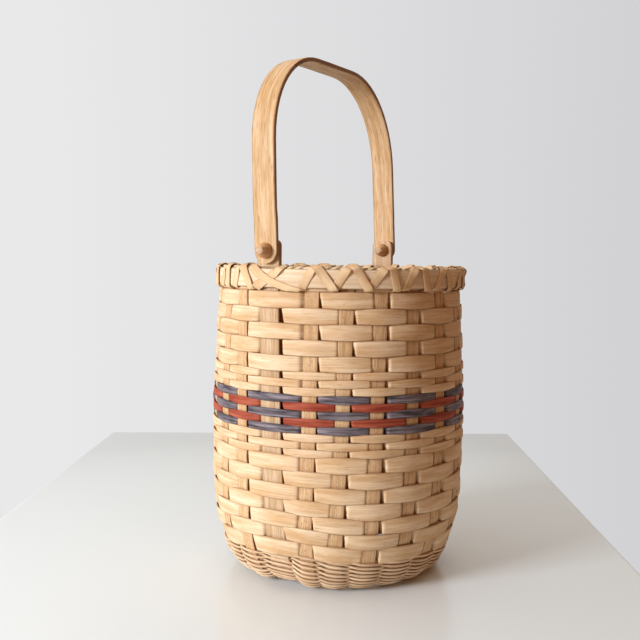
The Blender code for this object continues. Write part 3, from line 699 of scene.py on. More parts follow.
@dataclass
class BasketPlan:
    """The sizes that the sub-assemblies share, in metres."""

    splint_width: float = 12.7 * MM
    narrow_width: float = 6.0 * MM
    weaver_thickness: float = 1.0 * MM
    stake_width: float = 12.7 * MM
    stake_thickness: float = 1.2 * MM
    row_gap: float = 0.4 * MM
    rim_radius: float = 109.6 * MM
    base_radius: float = 79.0 * MM
    corner_height: float = 27.5 * MM
    spoke_level: float = 3.0 * MM
    stake_count: int = 22
    tail_width: float = 19.5 * MM
    tail_thickness: float = 1.8 * MM
    hoop_space: float = 2.2 * MM
    hoop_height: float = 15.9 * MM
    hoop_thickness: float = 2.5 * MM
    hoop_lift: float = 3.4 * MM
    false_row_width: float = 12.5 * MM
    pivot_above_rim: float = 16.9 * MM
    hinge_offset: float = 8.5 * MM
    stake_give: float = 0.6 * MM
    lift_height: float = 6.5 * MM
    lift_reach: float = 3.4
    lift_from_row: int = 15
    lift_end: float = 12 * MM
    pull_depth: float = 4.6 * MM
    pull_lead: float = 2 * MM
    pull_run: float = 14 * MM
    floor_reach: float = 1.1
    floor_steps: int = 40
    # After so many rows, the wall's radius as a share of the rim's
    radius_shares: tuple[tuple[int, float], ...] = (
        (0, 1), (3, 1.018), (12, 1.046), (19, 1.034), (21, 1.018), (23, 0.955)
    )
    # How far each upright stands from its even place, in gaps between uprights
    shift_shares: tuple[float, ...] = (
        -0.06, -0.01, -0.18, -0.30, -0.28, -0.26, -0.11, -0.02, 0.02, 0.04, 0.06,
        0.06, 0.10, 0.12, 0.10, -0.04, -0.10, -0.03, 0.02, 0.06, 0.09, -0.06,
    )
    # How far each leans to the rim and to the foot, in the same gaps
    lean_shares: tuple[tuple[float, float], ...] = (
        (0, 0.11), (0, -0.10), (0.09, -0.12), (0.12, -0.06), (0.06, -0.05), (0.05, -0.05),
        (0, 0.03), (-0.04, 0.05), (-0.06, 0.04), (0.03, 0.06), (0.05, 0),
        (0, -0.11), (0.03, -0.05), (-0.05, -0.04), (-0.07, 0.03), (0.04, 0.06), (0.06, -0.03),
        (-0.03, -0.05), (-0.05, 0.03), (0.02, 0.04), (-0.13, -0.08), (-0.20, 0.04),
    )

    def __post_init__(self) -> None:
        """Works out the rows, the wall's line and the uprights."""
        self.widths = [self.splint_width] * 5 + [self.narrow_width] * 11 + [self.splint_width] * 7
        self.tops = [0.0]
        for width in self.widths:
            self.tops.append(self.tops[-1] + width + self.row_gap)
        self.pitch = 2 * math.pi / self.stake_count
        self.uprights: list[Upright] = []
        for number, (shift, lean) in enumerate(zip(self.shift_shares, self.lean_shares)):
            is_ear = number % (self.stake_count // 2) == 0
            width = self.tail_width if is_ear else self.stake_width
            at_rim = self.pitch * lean[0]
            if is_ear:
                at_rim = math.copysign(math.asin(self.hinge_offset / self.rim_radius), number - 1)
                at_rim -= self.pitch * shift
            angle = math.pi + self.pitch * (number + shift)
            turns = (angle, at_rim, self.pitch * lean[1])
            self.uprights.append(Upright(number, *turns, width / 2, is_ear))
        self._draw_wall()
        self.wall_top = self.wall[0].y
        self.hoop_bottom = self.wall_top + self.hoop_lift
        self.hoop_top = self.hoop_bottom + self.hoop_height
        self.stake_top = self.hoop_bottom + self.false_row_width
        self.pivot = Vector((0, self.hinge_offset, self.hoop_top + self.pivot_above_rim))

    def _draw_wall(self) -> None:
        """Draws the wall's line in millimetre steps, each a radius and a height."""
        spots = [(self.tops[row], self.rim_radius * share) for row, share in self.radius_shares]
        drops = [
            math.sqrt((low[0] - high[0]) ** 2 - (low[1] - high[1]) ** 2) for high, low in zip(spots, spots[1:])
        ]
        height = self.spoke_level + self.corner_height + sum(drops)
        knots = [Vector((spots[0][1], height))]
        for (_, radius), drop in zip(spots[1:], drops):
            height -= drop
            knots.append(Vector((radius, height)))
        self.lean_levels = (knots[0].y, knots[2].y, knots[4].y)
        slopes = [(low - high) / (b[0] - a[0]) for high, low, a, b in zip(knots, knots[1:], spots, spots[1:])]
        ways = [slopes[0], *((one + two) / 2 for one, two in zip(slopes, slopes[1:])), slopes[-1]]
        self.wall: list[Vector] = []
        for index, (high, low) in enumerate(zip(knots, knots[1:])):
            length = spots[index + 1][0] - spots[index][0]
            controls = (high, high + ways[index] * length / 3, low - ways[index + 1] * length / 3, low)
            steps = round(length / MM)
            self.wall += [bezier(controls, step / steps) for step in range(steps)]
        reach = self.corner_height / 2
        end = Vector((self.base_radius, self.spoke_level))
        bend = end + Vector((self.floor_reach * reach, 0))
        controls = (knots[-1], knots[-1] + slopes[-1].normalized() * reach, bend, end)
        self.wall += [bezier(controls, step / self.floor_steps) for step in range(self.floor_steps + 1)]
        self.downs = [0.0]
        for before, after in zip(self.wall, self.wall[1:]):
            self.downs.append(self.downs[-1] + (after - before).length)

    def angle(self, upright: Upright, height: float) -> float:
        """An upright's angle round the basket at a height.

        Args:
            upright: The upright.
            height: The height.

        Returns:
            The angle in radians, from +X.
        """
        rim, middle, foot = self.lean_levels
        if height > middle:
            return upright.angle + upright.rim_turn * min((height - middle) / (rim - middle), 1)
        return upright.angle + upright.foot_turn * min((middle - height) / (middle - foot), 1)

    def wall_at(self, down: float) -> tuple[Vector, Vector]:
        """The wall's line at a distance down it.

        Args:
            down: The distance from the first row's top. Less than 0 is in the rim.

        Returns:
            Radius and height, and the way out of the wall in the same two parts.
        """
        if down <= 0:
            return Vector((self.rim_radius, self.wall_top - down)), Vector((1, 0))
        index = min(max(bisect_left(self.downs, down) - 1, 0), len(self.downs) - 2)
        step = self.wall[index + 1] - self.wall[index]
        share = (down - self.downs[index]) / (self.downs[index + 1] - self.downs[index])
        way = step.normalized()
        return self.wall[index] + step * share, Vector((-way.y, way.x))

    def give(self, upright: Upright, down: float) -> float:
        """How far a stake springs out beside a row that passes behind it, or in under one that passes over.

        Args:
            upright: The stake.
            down: The distance down the wall from the first row's top.

        Returns:
            The distance, which is less than 0 inwards.
        """
        middles = [top + width / 2 for top, width in zip(self.tops, self.widths)]
        row = sum(middle < down for middle in middles)
        before, after = middles[max(row - 1, 0)], middles[min(row, len(middles) - 1)]
        share = (down - before) / (after - before) if after > before else 0.0
        swing = math.cos(math.pi * min(max(share, 0), 1)) * (1 if upright.outside(max(row, 1)) else -1)
        return -self.stake_give * swing

    def lift(self, turn: float, down: float) -> float:
        """How much higher the weave sits beside the near ear, where its lowest rows were pushed up.

        Args:
            turn: How many uprights round from the ear at -X.
            down: The distance down the wall from the first row's top.

        Returns:
            The distance up the wall.
        """
        half = self.stake_count / 2
        near = ease(1 - abs((turn + half) % self.stake_count - half) / self.lift_reach)
        start, peak, end = self.tops[self.lift_from_row], self.tops[-1], self.downs[-1] - self.lift_end
        share = (down - start) / (peak - start) if down < peak else (end - down) / (end - peak)
        return self.lift_height * near * ease(share)

    def pull(self, turn: float, down: float) -> float:
        """How far the foot is drawn in at an ear, where the strands run straight across its wide tail.

        Args:
            turn: How many uprights round from the ear at -X.
            down: The distance down the wall from the first row's top.

        Returns:
            The distance inwards.
        """
        half = self.stake_count / 2
        away = abs((turn + half / 2) % half - half / 2)
        return self.pull_depth * ease(1 - away) * ease((down - self.tops[-1] + self.pull_lead) / self.pull_run)

    def place(self, angle: float, flat: Vector) -> Vector:
        """A radius and a height as a point, or a way, at an angle round the basket."""
        return Vector((flat.x * math.cos(angle), flat.x * math.sin(angle), flat.y))

    def between(self, turn: float, height: float) -> tuple[Upright, Upright, float, float]:
        """Where a turn, counted in uprights, is.

        Args:
            turn: How many uprights round from the ear at -X.
            height: The height, which the uprights' lean changes.

        Returns:
            The uprights on both sides, the share of the way between them, and the angle.
        """
        index = math.floor(turn)
        here = self.uprights[index % self.stake_count]
        there = self.uprights[(index + 1) % self.stake_count]
        first = self.angle(here, height)
        gap = (self.angle(there, height) - first) % (2 * math.pi)
        return here, there, turn - index, first + gap * (turn - index)


@dataclass
class Assembly:
    """What every sub-assembly is built with."""

    plan: BasketPlan
    tree: StripTree
    finishes: Finishes

    def strip(
        self,
        name: str,
        guide: Guide,
        section: Section,
        finish: ReedFinish,
        node: str,
        slot: Slot = Slot.NATURAL,
        body: Body = Body.BASKET,
    ) -> None:
        """Sweeps one strip and shows it in the place of a CAD node."""
        show(name, self.tree.sweep(name, guide, section, self.finishes.get(finish)), body, node)


@dataclass
class WovenWall(Assembly):
    """The flat rows that weave in and out of the uprights, and the one that the hoops clamp."""

    steps: int = 30
    stake_bow: float = 0.9 * MM
    ear_bow: float = 1.6 * MM
    stake_slot: float = 2.3 * MM
    ear_slot: float = 3.2 * MM
    stake_slot_width: float = 2.1 * MM
    ear_slot_width: float = 0.9 * MM
    bend: float = 2.8 * MM
    dip_lead: float = 0.6
    spring_lead: float = 0.5
    arch: float = 1.3 * MM
    lap: float = 1.05 * MM
    slip: float = 0.3 * MM
    tilt: float = math.radians(2.2)
    swell: float = 0.5 * MM
    swell_least: float = 0.8
    low_swell: float = 0.65 * MM
    waist: float = 0.09
    foot_cover: float = 3.0 * MM
    sunk_cover: float = 0.5
    low_from: int = 17
    held_outside: float = 1.7
    held_inside: float = 0.8
    wander: float = 0.15 * MM
    # Painted shade: the depth behind an upright where it begins, and over which it grows
    tuck_shade_from: float = 0.2 * MM
    tuck_shade_run: float = 1.4 * MM
    clamped_bow: float = 1.5 * MM
    clamped_gap: float = 0.5 * MM

    def bow(self, row: int, upright: Upright) -> float:
        """How far a row's middle stands out from the wall's at an upright.

        Args:
            row: The row's number from the rim.
            upright: The upright.

        Returns:
            The distance, which is less than 0 inside.
        """
        wander = self.wander * drift(row + 0.5, upright.number * 1.7)
        reach = self.ear_bow if upright.is_ear else self.stake_bow
        return (reach if upright.outside(row) else -reach) + wander

    def offset(self, row: int, here: Upright, there: Upright, share: float) -> float:
        """How far a row's middle stands out from the wall's between two uprights.

        Going in, the weaver lies flat up to the next upright's edge. Coming out, it springs away from the
        upright's other edge and leaves the narrow dark slot that shows beside every stake.

        Args:
            row: The row's number from the rim.
            here: The upright before.
            there: The upright after.
            share: How far it is from the one to the other, from 0 to 1.

        Returns:
            The distance, which is less than 0 inside.
        """
        reach = self.plan.pitch * self.plan.rim_radius
        along = share * reach
        before, after = self.bow(row, here), self.bow(row, there)
        if here.outside(row):
            before += self.arch * ease(1 - share)
            edge = reach - there.half_width
            return before + (after - before) * ease((along - edge) / self.bend + self.dip_lead)
        slot, wide = (self.ear_slot, self.ear_slot_width) if here.is_ear else (self.stake_slot, self.stake_slot_width)
        after += self.arch * ease(share)
        deep = before - slot
        if along < here.half_width:
            return before + (deep - before) * ease(along / here.half_width)
        return deep + (after - deep) * ease((along - here.half_width - wide) / self.bend + self.spring_lead)

    def row_guide(self, row: int, middle: float, width: float) -> Guide:
        """The way of one row, whose two ends lap behind the uprights at the back.

        Args:
            row: The row's number from the rim.
            middle: How far down the wall its middle runs.
            width: The reed's width.

        Returns:
            The guide.
        """
        plan = self.plan
        first = 9 + (row * 5) % 8
        first += 1 if plan.uprights[first].outside(row) else 0
        guide = Guide(start=row * 3.37)
        count = plan.stake_count + 2
        for step in range(count * self.steps + 1):
            turn = first + step / self.steps
            flat, _ = plan.wall_at(middle)
            here, there, share, angle = plan.between(turn, flat.y)
            blend = ease(share)
            offset = self.offset(row, here, there, share) + self.lap * ease(step / self.steps - plan.stake_count + 1)
            slips = [self.slip * drift(row, upright.number * 2.3) for upright in (here, there)]
            upper, lower = (edge - plan.lift(turn, edge) for edge in (middle - width / 2, middle + width / 2))
            sunk = max(-offset - self.stake_bow, 0)
            cover = self.sunk_cover * sunk + (self.foot_cover if row == len(plan.widths) else 0)
            flat, out = plan.wall_at((upper + lower + cover) / 2 + slips[0] * (1 - blend) + slips[1] * blend)
            outside = (here if blend < 0.5 else there).outside(row)
            held = abs(2 * blend - 1) * (self.held_outside if outside else self.held_inside)
            tall = (width + lower - upper) / 2 + self.swell * (self.swell_least + held) + cover
            tall += self.low_swell if row >= self.low_from or row == 1 else 0
            tall -= self.waist * width * max(1 - (offset / (self.stake_bow + self.arch / 2)) ** 2, 0)
            tilt = self.tilt * drift(row + 0.25, turn * 0.9)
            way = Vector((out.x - tilt * out.y, out.y + tilt * out.x))
            spot = plan.place(angle, flat + out * offset)
            # How far the row is sunk behind an upright, which its finish turns into painted shade
            tuck = ease((sunk - self.tuck_shade_from) / self.tuck_shade_run)
            guide.add(spot, plan.place(angle, way), tall, plan.weaver_thickness, tuck)
        return guide

    def build(self) -> None:
        """Builds the 23 rows and the clamped one."""
        plan = self.plan
        dyes = {9: "blue", 10: "red", 11: "blue", 12: "red", 13: "blue"}
        looks = {
            "natural": (NATURAL_WEAVER, Slot.NATURAL),
            "blue": (BLUE_WEAVER, Slot.BLUE),
            "red": (RED_WEAVER, Slot.RED),
        }
        for row, width in enumerate(plan.widths, start=1):
            dye = dyes.get(row, "natural")
            finish, slot = looks[dye]
            guide = self.row_guide(row, plan.tops[row - 1] + width / 2, width)
            self.strip(f"row_{row:02d}_{dye}", guide, OVAL_REED, finish, f"weaver_{row:02d}_{dye}", slot)
        clamped = Guide(start=91.0, closed=True)
        height = plan.stake_top - plan.wall_top - self.clamped_gap
        middle = plan.wall_top - plan.stake_top + height / 2
        for step in range(plan.stake_count * self.steps):
            flat, out = plan.wall_at(middle)
            here, there, share, angle = plan.between(step / self.steps, flat.y)
            signs = [1 if upright.outside(0) else -1 for upright in (here, there)]
            offset = self.clamped_bow * (signs[0] + (signs[1] - signs[0]) * ease(share))
            spot = plan.place(angle, flat + out * offset)
            clamped.add(spot, plan.place(angle, out), height, plan.weaver_thickness)
        self.strip("clamped_row", clamped, OVAL_REED, NATURAL_WEAVER, "rim_row")


@dataclass
class StakeFrame(Assembly):
    """The ten stakes: down the wall, across the mat and up the other side."""

    mat_pitch: float = 16.0 * MM
    mat_across: int = 4
    mat_along: int = 6
    mat_step: float = 1.5 * MM
    mat_gap: float = 0.3 * MM
    wall_step: float = 3.2 * MM
    curve_step: float = 2.5 * MM
    spoke_steps: int = 8
    fan_share: float = 0.33

    def wall_stretch(self, upright: Upright) -> list[tuple[Vector, Vector]]:
        """Points and face directions of one end of a stake, from its cut top to the floor.

        Args:
            upright: The upright that this end is.

        Returns:
            Each point with the way that its outer face looks.
        """
        plan = self.plan
        stretch = []
        down = plan.wall_top - plan.stake_top
        while down < plan.downs[-1]:
            flat, out = plan.wall_at(down)
            angle = plan.angle(upright, flat.y)
            if 0 < down < plan.tops[-1]:
                flat = flat + out * plan.give(upright, down)
            stretch.append((plan.place(angle, flat), plan.place(angle, out)))
            down += self.wall_step if down < plan.tops[-1] else self.curve_step
        return stretch

    def spoke(self, upright: Upright, mat_end: Vector, way: Vector) -> list[tuple[Vector, Vector]]:
        """The fanned stretch between the foot's curve and the mat.

        Args:
            upright: The upright that it comes from.
            mat_end: The end of its stretch in the mat.
            way: The way out of the mat there.

        Returns:
            Each point with the way that its outer face looks.
        """
        plan = self.plan
        angle = plan.angle(upright, plan.spoke_level)
        start = plan.place(angle, Vector((plan.base_radius, plan.spoke_level)))
        outward = plan.place(angle, Vector((1, 0)))
        reach = (start - mat_end).length * self.fan_share
        controls = (start, start - outward * reach, mat_end + way * reach, mat_end)
        return [(bezier(controls, step / self.spoke_steps), -UP) for step in range(self.spoke_steps)]

    def mat_stretch(
        self, axis: Vector, side: Vector, place: float, first_over: bool, crossings: int
    ) -> list[tuple[Vector, Vector]]:
        """The woven stretch in the middle of the floor.

        Args:
            axis: The way that the stake runs.
            side: The way across it.
            place: How far to that side it lies.
            first_over: Whether it passes over the first stake that it crosses.
            crossings: How many stakes it crosses.

        Returns:
            Each point with the way that its outer face looks.
        """
        half = self.plan.stake_width / 2 + self.mat_gap
        low = self.plan.stake_thickness / 2
        stretch = []
        for number in range(crossings):
            across = (number - (crossings - 1) / 2) * self.mat_pitch
            level = low + (self.mat_step if (number % 2 == 0) == first_over else 0)
            for reach in (-half, -half / 2, 0, half / 2, half):
                stretch.append((axis * (across + reach) + side * place + UP * level, -UP))
        return stretch

    def guide(
        self, index: int, ends: tuple[int, int], axis: Vector, side: Vector, place: float, over: bool, crossings: int
    ) -> Guide:
        """The whole way of one stake.

        Args:
            index: Its number, which gives it a grain of its own.
            ends: The numbers of the two uprights that it makes.
            axis: The way that it runs in the mat.
            side: The way across it.
            place: How far to that side it lies.
            over: Whether it passes over the first stake that it crosses.
            crossings: How many stakes it crosses.

        Returns:
            The guide.
        """
        plan = self.plan
        near, far = (plan.uprights[number] for number in ends)
        mat = self.mat_stretch(axis, side, place, over, crossings)
        away = -axis if (mat[0][0] - mat[-1][0]).dot(axis) < 0 else axis
        way = self.wall_stretch(near) + self.spoke(near, mat[0][0], away)
        back = self.wall_stretch(far) + self.spoke(far, mat[-1][0], -away)
        way += mat + back[::-1]
        guide = Guide(start=200 + index * 4.1)
        for spot, out in way:
            guide.add(spot, out, plan.stake_width, plan.stake_thickness)
        return guide

    def build(self) -> None:
        """Builds four stakes along X and six along Y."""
        plan = self.plan
        along_x = Vector((1, 0, 0))
        along_y = Vector((0, 1, 0))
        half = plan.stake_count // 2
        for index, number in enumerate((2, 1, -1, -2)):
            place = (index - (self.mat_across - 1) / 2) * self.mat_pitch
            ends = (number, (half - number) % plan.stake_count)
            guide = self.guide(index, ends, along_x, along_y, place, index % 2 == 0, self.mat_along)
            self.strip(f"long_stake_{index + 1}", guide, FLAT_REED, NATURAL_STAKE, f"stake_long_{index + 1}")
        for index in range(self.mat_along):
            number = index + self.mat_across // 2 + 1
            place = -(index - (self.mat_along - 1) / 2) * self.mat_pitch
            guide = self.guide(
                index + 4, (number, -number), along_y, -along_x, place, index % 2 == 1, self.mat_across
            )
            self.strip(f"cross_stake_{index + 1}", guide, FLAT_REED, NATURAL_STAKE, f"stake_cross_{index + 1}")


@dataclass
class TwinedFoot(Assembly):
    """Two round reeds that cross each other once between every two uprights, in one long spiral."""

    rounds: int = 9
    pitch: float = 3.9 * MM
    tall: float = 2.9 * MM
    deep: float = 2.5 * MM
    thin: float = 2.0 * MM
    reach: float = 2.2 * MM
    ear_reach: float = 3.1 * MM
    first_gap: float = 0.5 * MM
    wander: float = 0.25 * MM
    sag: float = 0.2 * MM
    early: float = 0.85
    hold: float = 0.6
    steps: int = 9

    def guide(self, strand: int) -> Guide:
        """The way of one strand.

        Args:
            strand: Its number, 0 or 1.

        Returns:
            The guide.
        """
        plan = self.plan
        guide = Guide(start=300 + 11 * strand)
        twist = self.pitch / 4
        first = plan.tops[-1] + twist + self.first_gap
        for step in range((self.rounds * plan.stake_count - 1) * self.steps + 1):
            turn = step / self.steps
            down = first + self.pitch * turn / plan.stake_count
            flat, _ = plan.wall_at(down)
            here, there, share, angle = plan.between(turn, flat.y)
            sign = 1 if here.outside(strand) else -1
            along = share**self.early
            wave = math.cos(math.pi * along)
            swing = math.copysign(abs(wave) ** self.hold, wave)
            near = here if share < 0.5 else there
            reach = (self.ear_reach if near.is_ear else self.reach) + self.wander * drift(strand, turn * 1.1)
            rise = twist * sign * math.sin(math.pi * along) ** 3
            rise += self.sag * drift(strand + 2, turn * 0.7)
            flat, out = plan.wall_at(down + rise - plan.lift(turn, down))
            spot = plan.place(angle, flat + out * (sign * swing * reach - plan.pull(turn, down)))
            tall, deep = (self.thin + (size - self.thin) * abs(wave) for size in (self.tall, self.deep))
            guide.add(spot, plan.place(angle, out), tall, deep)
        return guide

    def build(self) -> None:
        """Builds both strands."""
        for strand in (0, 1):
            name, node = f"foot_strand_{strand + 1}", f"twining_strand_{strand + 1}"
            self.strip(name, self.guide(strand), ROUND_REED, ROUND_RATTAN, node)


@dataclass
class LashedRim(Assembly):
    """Two flat hoops, a rope filler between them and two lashings that cross over all of it."""

    ear_half: float = 11.1 * MM
    hoop_steps: int = 132
    hoop_wander: float = 0.12 * MM
    hoop_sag: float = 0.2 * MM
    rope_radius: float = 2.6 * MM
    rope_pitch: float = 15.0 * MM
    rope_steps: int = 260
    ply_width: float = 3.3 * MM
    ply_thickness: float = 2.6 * MM
    rope_gap: float = 0.3 * MM
    lash_width: float = 7.6 * MM
    lash_thickness: float = 0.8 * MM
    lash_gap: float = 0.05 * MM
    lash_ease: float = 0.15 * MM
    crest_rise: float = 5.3 * MM
    crest_spread: float = 0.12
    crest_share: float = 0.12
    crest_wander: float = 0.02
    shoulder_sink: float = 0.4 * MM
    ear_narrow: float = 0.5
    ear_curve: float = 1.8
    stretch_steps: int = 3
    hole_share: float = 0.70
    ear_hole_share: float = 0.58
    # Holes listed one by one: the upright, the place after it, and how far each lashing goes in to its own side of
    # that place. The last two are in gaps between uprights.
    holes: tuple[tuple[int, float, float], ...] = (
        (0, 0.80, 0), (1, 0.64, 0), (2, 0.60, 0), (3, 0.52, 0.13), (4, 0.52, 0.15), (5, 0.50, 0.22),
        (6, 0.50, 0.24), (18, 0.50, 0.20), (19, 0.50, 0.24), (20, 0.50, 0.22), (21, 0.58, 0.06),
    )

    def hoop_guide(self, radius: float, start: float) -> Guide:
        """The way of a hoop.

        Args:
            radius: Its radius at the middle of its thickness.
            start: Where its grain starts.

        Returns:
            The guide.
        """
        plan = self.plan
        guide = Guide(start=start, closed=True)
        for step in range(self.hoop_steps):
            angle = 2 * math.pi * step / self.hoop_steps
            wander = self.hoop_wander * drift(start, step * 0.21)
            height = (plan.hoop_bottom + plan.hoop_top) / 2 + self.hoop_sag * drift(start + 1, step * 0.17)
            spot = plan.place(angle, Vector((radius + wander, height)))
            guide.add(spot, plan.place(angle, Vector((1, 0))), plan.hoop_height, plan.hoop_thickness)
        return guide

    def rope(self, name: str, ear: Upright, other: Upright) -> bpy.types.Mesh:
        """A two-ply rope on the stakes' ends, from ear to ear.

        Args:
            name: The mesh's name.
            ear: The ear that it starts at.
            other: The ear that it ends at.

        Returns:
            The mesh of both plies.
        """
        plan = self.plan
        clear = self.ear_half / plan.rim_radius
        first = plan.angle(ear, plan.hoop_top) + clear
        sweep = (plan.angle(other, plan.hoop_top) - clear - first) % (2 * math.pi)
        length = sweep * plan.rim_radius
        level = plan.stake_top + self.rope_gap + self.rope_radius
        plies = []
        for ply in (0, 1):
            guide = Guide(start=400 + ply * 3 + ear.number)
            for step in range(self.rope_steps + 1):
                share = step / self.rope_steps
                angle = first + sweep * share
                turn = 2 * math.pi * share * length / self.rope_pitch + math.pi * ply
                half = self.rope_radius / 2
                flat = Vector((plan.rim_radius + half * math.cos(turn), level + half * math.sin(turn)))
                way = Vector((math.cos(turn), math.sin(turn)))
                guide.add(plan.place(angle, flat), plan.place(angle, way), self.ply_width, self.ply_thickness)
            plies.append(self.tree.sweep(f"{name}_ply", guide, ROUND_REED, self.finishes.get(SEAGRASS)))
        return joined(name, plies)

    def hole(self, number: int, way: int) -> float:
        """The angle at which a lashing goes in between an upright and the next.

        Args:
            number: The upright's number.
            way: 1 or -1, the way that the lashing runs round.

        Returns:
            The angle in radians, from +X.
        """
        plan = self.plan
        here, there = (plan.uprights[(number + step) % plan.stake_count] for step in (0, 1))
        first = plan.angle(here, plan.hoop_top)
        gap = (plan.angle(there, plan.hoop_top) - first) % (2 * math.pi)
        for near, share, split in self.holes:
            if near == here.number:
                return first + gap * (share + way * split)
        return first + gap * (self.ear_hole_share if there.is_ear else self.hole_share)

    def lash_guide(self, layer: int, way: int) -> Guide:
        """The way of one lashing: up outside from a hole, over the crest and down inside to the next hole.

        Args:
            layer: 0 for the lashing beneath, 1 for the one on top.
            way: 1 or -1, the way that the lashing runs round.

        Returns:
            The guide.
        """
        plan = self.plan
        off = self.lash_gap + self.lash_thickness / 2 + layer * (self.lash_gap + self.lash_thickness)
        outer = plan.rim_radius + plan.hoop_space + plan.hoop_thickness + off + self.lash_ease
        inner = plan.rim_radius - plan.hoop_space - plan.hoop_thickness - off - self.lash_ease
        low = plan.hoop_bottom - off - self.lash_ease
        high = plan.hoop_top + off - self.shoulder_sink
        crest = plan.stake_top + self.crest_rise + off
        corners: list[tuple[float, float, float, Vector, float]] = []
        for step in range(plan.stake_count):
            number = step * way
            upright = plan.uprights[number % plan.stake_count]
            here = plan.angle(upright, plan.hoop_top)
            enter, leave = self.hole(number - (way > 0), way), self.hole(number - (way < 0), way)
            slope = self.crest_spread * plan.pitch
            top = here + self.crest_share * plan.pitch + self.crest_wander * drift(layer, number * 1.9)
            narrow = self.ear_narrow if upright.is_ear and way < 0 else 1.0
            corners.append((enter, outer, low, Vector((1, -1)), narrow))
            if upright.is_ear:
                slope /= 2
                top = here + way * (self.ear_half + self.lash_width / 2) / plan.rim_radius
                bend = self.ear_curve if way < 0 else 1.0
                turn = (top - enter + math.pi) % (2 * math.pi) - math.pi
                for share in (0.25, 0.5, 0.75):
                    level = low + (high - low) * share**bend
                    wide = narrow + (1 - narrow) * share**0.5
                    corners.append((enter + turn * share, outer, level, Vector((1, 0)), wide))
            corners.append((top - way * slope, outer, high, Vector((1, 1)), 1.0))
            corners.append((top, plan.rim_radius, crest, Vector((0, 1)), 1.0))
            corners.append((top + way * slope / 2, inner, high, Vector((-1, 1)), 1.0))
            corners.append((leave, inner, low, Vector((-1, -1)), 1.0))
        guide = Guide(start=500 + 9 * layer, closed=True)
        for index, (angle, radius, height, out, wide) in enumerate(corners):
            next_angle, next_radius, next_height, next_out, next_wide = corners[(index + 1) % len(corners)]
            turn = (next_angle - angle + math.pi) % (2 * math.pi) - math.pi
            face = (out + next_out).normalized()
            for piece in range(self.stretch_steps):
                share = piece / self.stretch_steps
                flat = Vector((radius + share * (next_radius - radius), height + share * (next_height - height)))
                normal = out.normalized() if piece == 0 else face
                at = angle + turn * share
                width = self.lash_width * (wide + share * (next_wide - wide))
                guide.add(plan.place(at, flat), plan.place(at, normal), width, self.lash_thickness)
        return guide.rounded().rounded()

    def build(self) -> None:
        """Builds the rim's six pieces."""
        plan = self.plan
        offset = plan.hoop_space + plan.hoop_thickness / 2
        for word, side in (("inner", -1), ("outer", 1)):
            guide = self.hoop_guide(plan.rim_radius + side * offset, 350 + side * 7)
            if side < 0:
                guide.outs = [-out for out in guide.outs]
            self.strip(f"{word}_hoop", guide, HOOP_REED, HOOP_SPLINT, f"rim_hoop_{word}")
        half = plan.stake_count // 2
        for word, number in (("front", 0), ("back", half)):
            mesh = self.rope(f"rim_rope_{word}", plan.uprights[number], plan.uprights[half - number])
            show(f"rim_rope_{word}", mesh, Body.BASKET, f"rim_filler_{word}")
        for number, layer, way in ((1, 1, -1), (2, 0, 1)):
            guide = self.lash_guide(layer, way)
            self.strip(f"lashing_{number}", guide, SPLIT_REED, LASHING_REED, f"rim_lashing_{number}")


